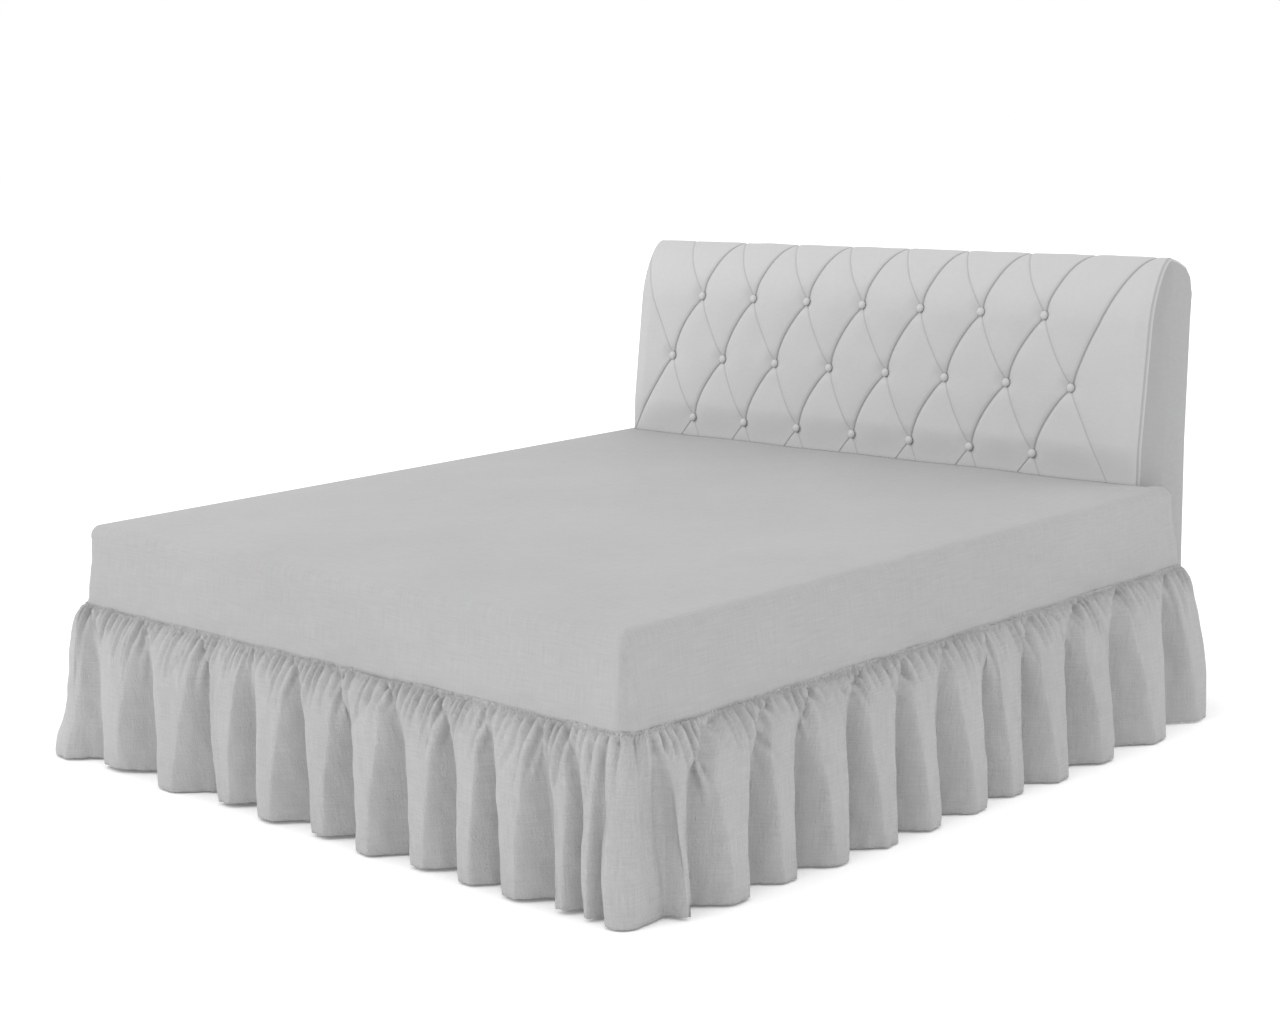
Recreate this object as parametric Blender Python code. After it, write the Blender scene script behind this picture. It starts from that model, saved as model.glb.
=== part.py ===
"""A frilled bed skirt (valance sheet) on a square double bed with a buttoned headboard.

Metres, +Z up. The origin is on the floor under the middle of the mattress. The foot of the bed
faces -Y, the headboard stands at +Y. The skirt is two cloths: a fitted top whose sides drop down
the mattress, and one gathered frill sewn to the lower edge of those drops on three sides.
"""

import math
from collections import namedtuple

import bmesh
import bpy
from mathutils import Vector

# Mattress and base
HALF = 1.000  # the mattress is 2.0 m square
MATTRESS_CORNER_R = 0.045  # its upright corners
MATTRESS_TOP = 0.6065
MATTRESS_EDGE_R = 0.045
BASE_TOP = 0.3945
BASE_INSET = 0.010
TOUCH = 0.0003  # gap between pieces that touch

# Cloth
CLOTH = 0.002
CORNER_R = 0.020  # the fitted corners, sewn tighter than the mattress's own
SHOULDER_OUT = 0.004  # how far the cloth's face stands outside the mattress at its top edge
SHOULDER_R = 0.030
SEAM_Z = 0.397
SEAM_OUT = 0.029
HEM_Z = 0.004
HEM_OUT = 0.038  # the frill's hollows at the hem; its ridges stand further out
TOP_END = HALF - 0.003  # where the flat of the fitted top ends, in front of the headboard
CLOTH_END = HALF + 0.035  # where the drops and the frill end, beside the headboard
END_FLARE = 0.005  # how far the frill's free ends swing back at the hem
PUFF_OUT = 0.022  # how far the whole frill stands off below the seam, where the gathers are thick

# Headboard
BOARD_LEFT, BOARD_RIGHT = -0.9715, 0.920
BOARD_FRONT = HALF + 0.0005
BOARD_BACK = 1.225
PAD_FRONT = 1.003  # the padded face at the height of the mattress top
PAD_LEAN = 0.155  # metres back for each metre up
CREST_Y, CREST_Z = 1.155, 1.193
BUTTONS_X = -0.065  # the middle of the rows of buttons
BUTTON_PITCH = 0.2143

# One row for each fold of the frill, from the foot's left corner round to the head's right end.
# width runs along the mattress edge at the hem; depth is how far the ridge stands out of the
# hollows; swell pushes the cloth out below the seam, kick pushes it out at the hem; lift raises
# the hem. turn is 1 where the fold's sharp flank comes first, going from left to right, and -1
# where it comes last; drift is how far along the bed that flank starts at the seam, from its
# place at the hem.
Fold = namedtuple("Fold", "width depth swell kick lift turn drift")
FOOT_FOLDS = (
    Fold(0.183, 0.040, -0.012, 0.030, 0.002, 1, -0.050),  # left corner, kicked out to a tip
    Fold(0.259, 0.074, 0.002, 0.000, 0.004, 1, -0.099),
    Fold(0.253, 0.082, 0.004, 0.004, 0.000, 1, -0.113),
    Fold(0.166, 0.068, 0.000, 0.000, 0.006, 1, -0.117),
    Fold(0.206, 0.076, 0.000, 0.003, 0.001, 1, -0.064),
    Fold(0.176, 0.068, 0.002, 0.000, 0.005, 1, -0.111),
    Fold(0.184, 0.078, 0.004, 0.004, 0.000, 1, -0.120),
    Fold(0.166, 0.068, 0.000, 0.000, 0.004, 1, -0.119),
    Fold(0.135, 0.062, 0.000, 0.003, 0.001, 1, -0.106),
    Fold(0.173, 0.070, 0.002, 0.000, 0.003, 1, -0.094),
    Fold(0.081, 0.044, 0.000, 0.012, 0.005, 1, -0.090),
    Fold(0.052, 0.034, 0.000, 0.018, 0.004, 1, -0.088),
    Fold(0.027, 0.034, 0.002, 0.030, 0.000, 1, 0.010),  # near corner
)
SIDE_FOLDS = (
    Fold(0.054, 0.050, 0.000, 0.016, 0.002, -1, 0.211),  # near corner, on the side
    Fold(0.198, 0.074, 0.002, 0.012, 0.002, -1, 0.173),
    Fold(0.147, 0.064, 0.000, 0.014, 0.000, -1, 0.167),
    Fold(0.171, 0.074, 0.002, 0.020, 0.001, -1, 0.159),
    Fold(0.173, 0.070, 0.004, 0.028, 0.000, -1, 0.145),
    Fold(0.153, 0.070, 0.002, 0.032, 0.002, -1, 0.144),
    Fold(0.186, 0.072, 0.002, 0.034, 0.000, -1, 0.097),
    Fold(0.142, 0.058, 0.002, 0.036, 0.001, -1, 0.146),
    Fold(0.175, 0.076, 0.004, 0.038, 0.000, -1, 0.191),
    Fold(0.198, 0.076, 0.002, 0.036, 0.002, -1, 0.165),
    Fold(0.252, 0.080, 0.004, 0.034, 0.000, -1, 0.126),
    Fold(0.212, 0.066, 0.000, 0.026, 0.001, -1, 0.000),  # head end
)
END_PHASE = 0.80  # the cloth ends on the ridge of its last fold
COLUMN_SHARES = (0.0, 0.07, 0.15, 0.28, 0.40, 0.52, 0.65, 0.78, 0.90)  # closer on the flanks
FRILL_ROWS = (0.0, 0.05, 0.12, 0.22, 0.36, 0.54, 0.76, 1.0)
DEPTH_FALL = 0.35  # the share of the fall over which a ridge gains most of its depth
DRIFT_FALL = 0.22  # ... and over which a fold's flank comes to its place at the hem
GATHER_DEPTH = 0.006
GATHERS_PER_FOLD = 2


def smooth(x):
    """A soft step from 0 to 1."""
    x = min(max(x, 0.0), 1.0)
    return x * x * (3.0 - 2.0 * x)


def mix(a, b, t):
    return a + (b - a) * t


# ---------------------------------------------------------------- the bed's outline

SIDE_RUN = HALF + CLOTH_END - CORNER_R
FOOT_RUN = 2.0 * (HALF - CORNER_R)
ARC_RUN = CORNER_R * math.pi / 2.0
OUTLINE_RUN = 2.0 * (SIDE_RUN + ARC_RUN) + FOOT_RUN


def outline(s, out):
    """The point `out` metres outside the mattress edge, s metres along it from the head's left end."""
    inner = HALF + min(out, -CORNER_R)
    reach = max(CORNER_R + out, 0.0)
    scale = inner / (HALF - CORNER_R)
    if s < SIDE_RUN:
        return Vector((-inner - reach, mix(CLOTH_END, -inner, s / SIDE_RUN), 0.0))
    s -= SIDE_RUN
    if s < ARC_RUN:
        turn = s / CORNER_R
        return Vector((-inner - reach * math.cos(turn), -inner - reach * math.sin(turn), 0.0))
    s -= ARC_RUN
    if s < FOOT_RUN:
        return Vector((-inner + s * scale, -inner - reach, 0.0))
    s -= FOOT_RUN
    if s < ARC_RUN:
        turn = s / CORNER_R
        return Vector((inner + reach * math.sin(turn), -inner - reach * math.cos(turn), 0.0))
    s -= ARC_RUN
    return Vector((inner + reach, mix(-inner, CLOTH_END, s / SIDE_RUN), 0.0))


def new_object(name, mesh, colour, roughness):
    """A named object with a finish of its own."""
    finish = bpy.data.materials.new(name)
    finish.use_nodes = True
    shader = finish.node_tree.nodes["Principled BSDF"]
    shader.inputs["Base Color"].default_value = (*colour, 1.0)
    shader.inputs["Roughness"].default_value = roughness
    mesh.materials.append(finish)
    piece = bpy.data.objects.new(name, mesh)
    bpy.context.scene.collection.objects.link(piece)
    return piece


def finished_mesh(name, bm):
    """The bmesh as a mesh with its faces out, round where it is round."""
    bmesh.ops.recalc_face_normals(bm, faces=bm.faces)
    mesh = bpy.data.meshes.new(name)
    bm.to_mesh(mesh)
    bm.free()
    mesh.shade_smooth()
    mesh.set_sharp_from_angle(angle=math.radians(40))
    return mesh


def grid_faces(bm, rows, closed=False):
    """Quads between neighbouring rows of vertices; closed joins each row's end to its start."""
    for upper, lower in zip(rows, rows[1:]):
        count = len(upper)
        for i in range(count if closed else count - 1):
            j = (i + 1) % count
            corners = (upper[i], upper[j], lower[j], lower[i])
            kept = [v for k, v in enumerate(corners) if v is not corners[k - 1]]
            if len(kept) > 2:
                bm.faces.new(kept)


def thicken(piece):
    """Gives a cloth's face its thickness on the inner side."""
    solid = piece.modifiers.new("cloth thickness", "SOLIDIFY")
    solid.thickness = CLOTH
    solid.offset = -1.0
    solid.use_even_offset = False


# ---------------------------------------------------------------- the frill


def frill_folds():
    """Every fold from the head's left end to the head's right end; the left side mirrors the right."""
    seen = list(FOOT_FOLDS) + list(SIDE_FOLDS)
    left = [fold._replace(turn=1, drift=-fold.drift) for fold in reversed(SIDE_FOLDS[1:])]

    def run(folds, end_fold):
        return sum(fold.width for fold in folds) - (1.0 - END_PHASE) * end_fold.width

    scale = (OUTLINE_RUN - run(seen, seen[-1])) / run(left, left[0])
    return [fold._replace(width=fold.width * scale) for fold in left] + seen


def edge_drifts(folds):
    """The drift at each line between two folds: a fold's own is that of its sharp flank."""
    drifts = [0.0] * (len(folds) + 1)
    for i, fold in enumerate(folds):
        drifts[i if fold.turn > 0 else i + 1] = fold.drift
    return drifts


def ridge(share, fall):
    """How far a fold stands out, 0 to 1, across its width. The hollow opens from a slit at the seam."""
    hollow = 0.12 + 0.30 * fall + 0.18 * fall**4
    sharp = mix(0.08, 0.15, fall)
    soft = mix(0.10, 0.25, fall)
    return smooth(share / sharp) * (1.0 - smooth((share - 1.0 + hollow) / soft))


def frill_point(start, fold, before, after, drifts, phase, fall):
    """The frill's outer face, at a phase across a fold and a fall from seam (0) to hem (1)."""
    near = before if phase < 0.5 else after
    own = 0.5 + min(0.5 - abs(phase - 0.5), 0.25) * 2.0

    def eased(column):
        return mix(getattr(near, column), getattr(fold, column), own)

    share = phase if fold.turn > 0 else 1.0 - phase
    gather = math.sin(2.0 * math.pi * GATHERS_PER_FOLD * share)
    gather *= GATHER_DEPTH * smooth(fall / 0.05) * (1.0 - smooth((fall - 0.05) / 0.30))
    grown = (1.0 - math.exp(-fall / DEPTH_FALL)) / (1.0 - math.exp(-1.0 / DEPTH_FALL))
    out = mix(SEAM_OUT, HEM_OUT, fall**1.4)
    out += (PUFF_OUT + eased("swell")) * (1.0 - math.exp(-fall / 0.08)) * (1.0 - fall**2)
    kicked = eased("kick") * smooth((fall - 0.35) / 0.65)
    out += kicked
    out += eased("depth") * ridge(share, fall) * grown + gather
    along = start + phase * fold.width
    # On the bed's sides a kicked fold also swings towards the foot
    swing = smooth((SIDE_RUN - along) / 0.2) - smooth((along - OUTLINE_RUN + SIDE_RUN) / 0.2)
    along += swing * kicked + mix(*drifts, phase) * math.exp(-fall / DRIFT_FALL)
    along = min(max(along, 0.0), OUTLINE_RUN)
    point = outline(along, out)
    from_end = min(along, OUTLINE_RUN - along)
    point.y += END_FLARE * fall * (1.0 - smooth(from_end / 0.20))
    point.z = mix(SEAM_Z, HEM_Z + eased("lift"), fall)
    return point


def fold_phases(index, last, turn):
    """The phases of a fold's columns; the run starts and ends part of the way through a fold."""
    shares = COLUMN_SHARES if turn > 0 else [1.0 - share for share in reversed(COLUMN_SHARES[1:])]
    phases = sorted({0.0, *shares})
    if index == 0:
        return [1.0 - END_PHASE] + [phase for phase in phases if phase > 1.0 - END_PHASE + 0.02]
    if index == last:
        return [phase for phase in phases if phase < END_PHASE - 0.02] + [END_PHASE]
    return phases


def build_frill():
    folds = frill_folds()
    last = len(folds) - 1
    drifts = edge_drifts(folds)
    bm = bmesh.new()
    rows = [[] for _ in FRILL_ROWS]
    start = -(1.0 - END_PHASE) * folds[0].width
    for i, fold in enumerate(folds):
        before, after = folds[max(i - 1, 0)], folds[min(i + 1, last)]
        edges = drifts[i : i + 2]
        for phase in fold_phases(i, last, fold.turn):
            for row, fall in zip(rows, FRILL_ROWS):
                point = frill_point(start, fold, before, after, edges, phase, fall)
                row.append(bm.verts.new(point))
        start += fold.width
    grid_faces(bm, rows)
    piece = new_object("frill", finished_mesh("frill", bm), (0.60, 0.60, 0.60), 0.90)
    thicken(piece)
    return piece


# ---------------------------------------------------------------- the fitted top

TOP_SIDE_STEPS = 12
TOP_ARC_STEPS = 4
TOP_FOOT_STEPS = 12
SHOULDER_STEPS = 3
DROP_FALLS = (0.12, 0.42, 0.72, 1.0)


def top_stations():
    """Distances along the outline at which the top's drops have a column."""
    past_end = CLOTH_END - TOP_END
    side = [mix(past_end, SIDE_RUN, i / TOP_SIDE_STEPS) for i in range(TOP_SIDE_STEPS)]
    arc = [SIDE_RUN + ARC_RUN * i / TOP_ARC_STEPS for i in range(TOP_ARC_STEPS)]
    foot_start = SIDE_RUN + ARC_RUN
    foot = [foot_start + FOOT_RUN * i / TOP_FOOT_STEPS for i in range(TOP_FOOT_STEPS + 1)]
    left = [0.0] + side + arc
    return left + foot + [OUTLINE_RUN - s for s in reversed(left)]


def top_height(x, y):
    """The lie of the flat of the cloth: a little fuller in the middle and slack near the head."""
    crown = 0.003 * (1.0 - (x / HALF) ** 2) * (1.0 - (y / HALF) ** 2)
    slack = 0.003 * math.exp(-(((x - 0.80) / 0.14) ** 2 + ((y - 0.86) / 0.10) ** 2))
    return MATTRESS_TOP + TOUCH + CLOTH + crown + slack


def build_top():
    stations = top_stations()
    bm = bmesh.new()
    rows = []
    # The drops, from the seam up to the shoulder
    shoulder_z = MATTRESS_TOP + TOUCH + CLOTH - SHOULDER_R
    for fall in reversed(DROP_FALLS):
        out = mix(SHOULDER_OUT, SEAM_OUT, fall**1.2)
        z = mix(shoulder_z, SEAM_Z + TOUCH, fall)
        rows.append([bm.verts.new(outline(s, out) + Vector((0.0, 0.0, z))) for s in stations])
    for step in range(SHOULDER_STEPS):
        angle = math.pi / 2.0 * step / SHOULDER_STEPS
        out = SHOULDER_OUT - SHOULDER_R * (1.0 - math.cos(angle))
        z = shoulder_z + SHOULDER_R * math.sin(angle)
        rows.append([bm.verts.new(outline(s, out) + Vector((0.0, 0.0, z))) for s in stations])
    # The flat of the cloth starts at a square ring, where the corner's columns meet
    ring = []
    for i, s in enumerate(stations):
        point = outline(s, SHOULDER_OUT - SHOULDER_R)
        same = ring and (ring[-1].co.xy - point.xy).length < 1e-6
        point.z = top_height(point.x, point.y)
        ring.append(ring[-1] if same else bm.verts.new(point))
    rows.append(ring)
    grid_faces(bm, rows)
    # ... and is a plain grid inside it
    corner = 1 + TOP_SIDE_STEPS
    left = ring[1 : corner + 1]
    foot = ring[corner + TOP_ARC_STEPS : corner + TOP_ARC_STEPS + TOP_FOOT_STEPS + 1]
    right = list(reversed(ring))[1 : corner + 1]
    cross = []
    for a, b in zip(left[:-1], right[:-1]):
        row = [a]
        for column in foot[1:-1]:
            x, y = column.co.x, a.co.y
            row.append(bm.verts.new((x, y, top_height(x, y))))
        cross.append(row + [b])
    cross.append(foot)
    grid_faces(bm, cross)
    piece = new_object("fitted_top", finished_mesh("fitted_top", bm), (0.58, 0.58, 0.58), 0.85)
    thicken(piece)
    return piece


# ---------------------------------------------------------------- mattress and base


def slab(name, half, y_head, r, levels, colour):
    """A closed slab with round upright corners; levels are (inset, z) from the bottom to the top."""
    bm = bmesh.new()
    rows = []
    for inset, z in levels:
        row = []
        for cx, cy, first in ((1, -1, -90), (1, 1, 0), (-1, 1, 90), (-1, -1, 180)):
            reach = r - inset
            for step in range(5):
                angle = math.radians(first + 22.5 * step)
                x = cx * (half - r) + reach * math.cos(angle)
                y = (y_head if cy > 0 else -half) - cy * r + reach * math.sin(angle)
                row.append(bm.verts.new((x, y, z)))
        rows.append(row)
    grid_faces(bm, rows, closed=True)
    bm.faces.new(list(reversed(rows[0])))
    bm.faces.new(rows[-1])
    return new_object(name, finished_mesh(name, bm), colour, 0.8)


def edge_levels(bottom, top, r, steps=3):
    """Insets and heights of a slab whose upper and lower edges are rounded."""
    rounds = []
    for step in range(steps + 1):
        angle = math.pi / 2.0 * step / steps
        rounds.append((r * (1.0 - math.sin(angle)), r * (1.0 - math.cos(angle))))
    lower = [(inset, bottom + rise) for inset, rise in rounds]
    upper = [(inset, top - rise) for inset, rise in reversed(rounds)]
    return lower + upper


def build_mattress():
    levels = edge_levels(BASE_TOP + TOUCH, MATTRESS_TOP, MATTRESS_EDGE_R)
    return slab("mattress", HALF, HALF, MATTRESS_CORNER_R, levels, (0.75, 0.74, 0.71))


def build_base():
    levels = [(0.0, 0.0), (0.0, BASE_TOP)]
    half, corner = HALF - BASE_INSET, MATTRESS_CORNER_R - BASE_INSET
    return slab("bed_base", half, BOARD_FRONT - TOUCH, corner, levels, (0.42, 0.36, 0.30))


# ---------------------------------------------------------------- headboard

ROW_STEP = 0.186  # from one row of buttons to the next, up the padded face
ROW_1_Z = 1.0355
CELL_STEPS = 3  # mesh steps from one row of buttons to the next, and across half a pitch
PUFF = 0.007  # how far the middle of a diamond stands out of its creases
DIMPLE = 0.006  # how much deeper a button lies than the creases
BOARD_EDGE_R = 0.015
BACK_LINE = (  # y, z
    (1.222, 1.176),
    (1.252, 1.150),
    (1.263, 1.100),
    (1.258, 1.020),
    (1.235, 0.700),
    (BOARD_BACK, 0.400),
    (BOARD_BACK, 0.0),
)


def pad_line(t):
    """The padded face's point (y, z) and outward direction, t metres below the first row of buttons."""
    z = ROW_1_Z - t
    if t > -0.03:
        out = Vector((0.0, -1.0, PAD_LEAN)).normalized()
        return Vector((0.0, PAD_FRONT + PAD_LEAN * (z - MATTRESS_TOP), z)), out
    # Above that the face rolls back over the crest, from its own slope to level
    start_z = ROW_1_Z + 0.03
    start = Vector((0.0, PAD_FRONT + PAD_LEAN * (start_z - MATTRESS_TOP), start_z))
    bend = Vector((0.0, start.y + PAD_LEAN * (CREST_Z - start_z), CREST_Z))
    crest = Vector((0.0, CREST_Y, CREST_Z))
    share = min((-t - 0.03) / (ROW_STEP - 0.03), 1.0)
    point = start.lerp(bend, share).lerp(bend.lerp(crest, share), share)
    slope = (bend - start).lerp(crest - bend, share)
    return point, Vector((0.0, -slope.z, slope.y)).normalized()


def puff(x, t):
    """How far the padding stands out of its backing, 0 at a button."""
    row = t / ROW_STEP
    across = (x - BUTTONS_X) / BUTTON_PITCH
    a, b = across + row / 2.0, across - row / 2.0
    crown = abs(math.sin(math.pi * a) * math.sin(math.pi * b)) ** 0.6
    nearest_row = round(row)
    shift = 0.5 * (nearest_row % 2)
    nearest = round(across - shift) + shift
    away = math.hypot((across - nearest) * BUTTON_PITCH, (row - nearest_row) * ROW_STEP)
    edge = smooth(min(x - BOARD_LEFT, BOARD_RIGHT - x) / 0.05)
    above_mattress = smooth((ROW_1_Z - t - MATTRESS_TOP - 0.004) / 0.034)
    over_crest = mix(1.0, 0.15, smooth(-t / ROW_STEP))
    fullness = DIMPLE * (1.0 - math.exp(-((away / 0.030) ** 2))) + PUFF * crown * edge * over_crest
    return fullness * above_mattress


def button_places():
    """Each button's name, x and distance t below the first row: seven, eight and seven."""
    places = []
    for row, count in enumerate((7, 8, 7)):
        for i in range(count):
            x = BUTTONS_X + (i - (count - 1) / 2.0) * BUTTON_PITCH
            places.append((f"button_{row + 1}_{i + 1}", x, row * ROW_STEP))
    return places


def board_ring(x, inset):
    """Points round the board's section at x, from the bottom of its face over the crest to the back."""
    ring = [Vector((x, BOARD_FRONT + inset, z)) for z in (0.0, MATTRESS_TOP - 0.12)]
    for step in range(2 * CELL_STEPS + 1, -CELL_STEPS - 1, -1):
        t = step * ROW_STEP / CELL_STEPS
        base, out = pad_line(t)
        ring.append(Vector((x, base.y, base.z)) + out * (puff(x, t) - inset))
    for y, z in BACK_LINE:
        ring.append(Vector((x, y - inset, z)))
    return ring


def build_headboard():
    bm = bmesh.new()
    step = BUTTON_PITCH / 2.0 / CELL_STEPS
    steps_left = int((BUTTONS_X - BOARD_LEFT - BOARD_EDGE_R) / step)
    steps_right = int((BOARD_RIGHT - BUTTONS_X - BOARD_EDGE_R) / step)
    stations = [(BUTTONS_X + i * step, 0.0) for i in range(-steps_left, steps_right + 1)]
    for share in (0.0, 0.5, 1.0):
        inward = BOARD_EDGE_R * (1.0 - math.sin(share * math.pi / 2.0))
        inset = BOARD_EDGE_R * (1.0 - math.cos(share * math.pi / 2.0))
        stations = [(BOARD_LEFT + inward, inset)] + stations + [(BOARD_RIGHT - inward, inset)]
    rows = [[bm.verts.new(p) for p in board_ring(x, inset)] for x, inset in stations]
    for left, right in zip(rows, rows[1:]):
        count = len(left)
        for i in range(count):
            j = (i + 1) % count
            a, b, c, d = left[i], left[j], right[j], right[i]
            # Each square is cut along its deeper diagonal, so that the creases run straight
            if a.co.y + c.co.y > b.co.y + d.co.y:
                bm.faces.new((a, b, c))
                bm.faces.new((a, c, d))
            else:
                bm.faces.new((a, b, d))
                bm.faces.new((b, c, d))
    bm.faces.new(rows[0])
    bm.faces.new(list(reversed(rows[-1])))
    bmesh.ops.dissolve_limit(bm, angle_limit=0.0005, verts=bm.verts, edges=bm.edges)
    bmesh.ops.triangulate(bm, faces=bm.faces)
    return new_object("headboard", finished_mesh("headboard", bm), (0.62, 0.62, 0.62), 0.55)


def build_buttons():
    """Covered buttons, each a low dome on a shallow cone that sits in its dimple."""
    profile = ((0.011, 0.0050), (0.014, 0.0078), (0.0125, 0.0112), (0.007, 0.0140))
    sides = 10
    bm = bmesh.new()
    foot = bm.verts.new((0.0, 0.0, TOUCH))
    crown = bm.verts.new((0.0, 0.0, 0.0150))
    rows = []
    for radius, height in profile:
        angles = [2.0 * math.pi * i / sides for i in range(sides)]
        rows.append([bm.verts.new((radius * math.cos(a), radius * math.sin(a), height)) for a in angles])
    rows = [[foot] * sides] + rows + [[crown] * sides]
    for lower, upper in zip(rows, rows[1:]):
        for i in range(sides):
            j = (i + 1) % sides
            corners = []
            for v in (lower[i], lower[j], upper[j], upper[i]):
                if v not in corners:
                    corners.append(v)
            bm.faces.new(corners)
    shared = finished_mesh("button", bm)
    for name, x, t in button_places():
        base, out = pad_line(t)
        piece = new_object(name, shared.copy(), (0.62, 0.62, 0.62), 0.5)
        piece.location = (x, base.y, base.z)
        piece.rotation_euler = out.to_track_quat("Z", "Y").to_euler()


for old in list(bpy.data.objects):
    bpy.data.objects.remove(old)
build_base()
build_mattress()
build_top()
build_frill()
build_headboard()
build_buttons()
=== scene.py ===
"""A frilled bed skirt on a square double bed with a buttoned headboard, dressed for pictures.

Metres, +Z up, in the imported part's own frame: the origin is on the floor under the middle of the
mattress, the foot of the bed faces -Y and the headboard stands at +Y. Each section makes one piece
of the bed, in the order in which the bed is put together.
"""

import math
from collections import namedtuple

import bmesh
import bpy
import numpy as np
from mathutils import Matrix, Vector


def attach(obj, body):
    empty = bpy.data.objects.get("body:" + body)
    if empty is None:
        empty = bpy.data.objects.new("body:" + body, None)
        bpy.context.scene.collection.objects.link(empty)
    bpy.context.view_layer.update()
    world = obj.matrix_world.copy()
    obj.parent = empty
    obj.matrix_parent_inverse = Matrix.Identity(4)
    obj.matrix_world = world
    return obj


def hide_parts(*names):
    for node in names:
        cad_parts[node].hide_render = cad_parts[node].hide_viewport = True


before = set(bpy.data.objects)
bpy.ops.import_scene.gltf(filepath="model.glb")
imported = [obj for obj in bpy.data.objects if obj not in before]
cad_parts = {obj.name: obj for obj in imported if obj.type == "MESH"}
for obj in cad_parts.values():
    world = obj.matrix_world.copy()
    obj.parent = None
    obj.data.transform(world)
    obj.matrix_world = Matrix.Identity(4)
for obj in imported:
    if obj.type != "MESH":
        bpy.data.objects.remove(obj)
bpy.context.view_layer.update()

# ---------------------------------------------------------------- camera
# The camera stands off the foot's right corner at a little above the headboard's height and
# looks down at the bed. Its picture is 1280 x 1020.

CAMERA_PLACE = (4.314, -4.249, 1.721)
CAMERA_TURN = math.radians(45.086)
CAMERA_RISE = math.radians(10.5)
CAMERA_ROLL = math.radians(-1.93)
FOCAL_PIXELS = 2340.334
PICTURE_WIDTH = 1280

away = Vector(
    (
        math.sin(CAMERA_TURN) * math.cos(CAMERA_RISE),
        -math.cos(CAMERA_TURN) * math.cos(CAMERA_RISE),
        math.sin(CAMERA_RISE),
    )
)
level = (-away).cross(Vector((0.0, 0.0, 1.0))).normalized()
upright = level.cross(-away).normalized()
rolled_level = math.cos(CAMERA_ROLL) * level + math.sin(CAMERA_ROLL) * upright
rolled_upright = math.cos(CAMERA_ROLL) * upright - math.sin(CAMERA_ROLL) * level
camera_data = bpy.data.cameras.new("camera")
camera_data.sensor_fit = "HORIZONTAL"
camera_data.sensor_width = 36.0
camera_data.lens = FOCAL_PIXELS / PICTURE_WIDTH * camera_data.sensor_width


def in_scene(name, data):
    """A new object in the scene, made from its data."""
    thing = bpy.data.objects.new(name, data)
    bpy.context.scene.collection.objects.link(thing)
    return thing


camera = in_scene("camera", camera_data)
camera.matrix_world = Matrix((rolled_level, rolled_upright, away)).transposed().to_4x4()
camera.matrix_world.translation = CAMERA_PLACE
bpy.context.scene.camera = camera

# ---------------------------------------------------------------- floor and light
# A plain white studio floor that runs out to a white surround; two broad soft lights, one off the
# foot's left side and one off the head's right side; and a softbox close by on the left.

FLOOR_HALF = 40.0
FLOOR_COLOUR = (0.97, 0.97, 0.97, 1.0)
FLOOR_GLOW = 0.12  # the sweep is lit from below as well
SURROUND_LIGHT = 1.04
LIGHTS = (
    # name, where it shines from, how strongly, how wide it is in degrees
    ("light_left", (-0.60, -0.80, 0.58), 0.96, 50.0),
    ("light_right", (0.80, 0.60, 0.84), 0.50, 60.0),
)
SOFTBOX_PLACE = (-3.2, -1.2, 2.6)
SOFTBOX_AIM = (-0.3, 0.0, 0.5)
SOFTBOX_WATTS = 19.0
SOFTBOX_SIZE = 2.4


def new_finish(name, **values):
    """A new material, with its shader's own values set by name."""
    finish = bpy.data.materials.new(name)
    finish.use_nodes = True
    shader = finish.node_tree.nodes["Principled BSDF"]
    for socket, value in values.items():
        shader.inputs[socket.replace("_", " ")].default_value = value
    return finish, finish.node_tree, shader


floor_mesh = bpy.data.meshes.new("floor")
floor_corners = [(x * FLOOR_HALF, y * FLOOR_HALF, 0.0) for x, y in ((-1, -1), (1, -1), (1, 1), (-1, 1))]
floor_mesh.from_pydata(floor_corners, [], [(0, 1, 2, 3)])
floor_paint, _, _ = new_finish(
    "studio_floor",
    Base_Color=FLOOR_COLOUR,
    Roughness=1.0,
    Specular_IOR_Level=0.0,
    Emission_Color=(1.0, 1.0, 1.0, 1.0),
    Emission_Strength=FLOOR_GLOW,
)
floor_mesh.materials.append(floor_paint)
in_scene("floor", floor_mesh)

world = bpy.data.worlds.new("studio")
bpy.context.scene.world = world
world.use_nodes = True
surround = world.node_tree.nodes["Background"]
surround.inputs["Color"].default_value = (1.0, 1.0, 1.0, 1.0)
seen = world.node_tree.nodes.new("ShaderNodeLightPath")
brightness = world.node_tree.nodes.new("ShaderNodeMapRange")
brightness.inputs["To Min"].default_value = SURROUND_LIGHT
brightness.inputs["To Max"].default_value = 1.0
world.node_tree.links.new(seen.outputs["Is Camera Ray"], brightness.inputs["Value"])
world.node_tree.links.new(brightness.outputs["Result"], surround.inputs["Strength"])

for name, side, strength, width in LIGHTS:
    light = bpy.data.lights.new(name, "SUN")
    light.energy = strength
    light.angle = math.radians(width)
    lamp = in_scene(name, light)
    lamp.rotation_euler = Vector(side).to_track_quat("Z", "Y").to_euler()
softbox = bpy.data.lights.new("softbox", "AREA")
softbox.energy = SOFTBOX_WATTS
softbox.size = SOFTBOX_SIZE
lamp = in_scene("softbox", softbox)
lamp.location = SOFTBOX_PLACE
lamp.rotation_euler = (Vector(SOFTBOX_PLACE) - Vector(SOFTBOX_AIM)).to_track_quat("Z", "Y").to_euler()
bpy.context.scene.view_settings.view_transform = "Standard"

# ---------------------------------------------------------------- fitted top
# The top of the skirt is one woven cotton cloth over the mattress. Its sides drop to the frill's
# seam and are sewn up at the two foot corners, a little tighter than the mattress's own corners.

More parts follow.
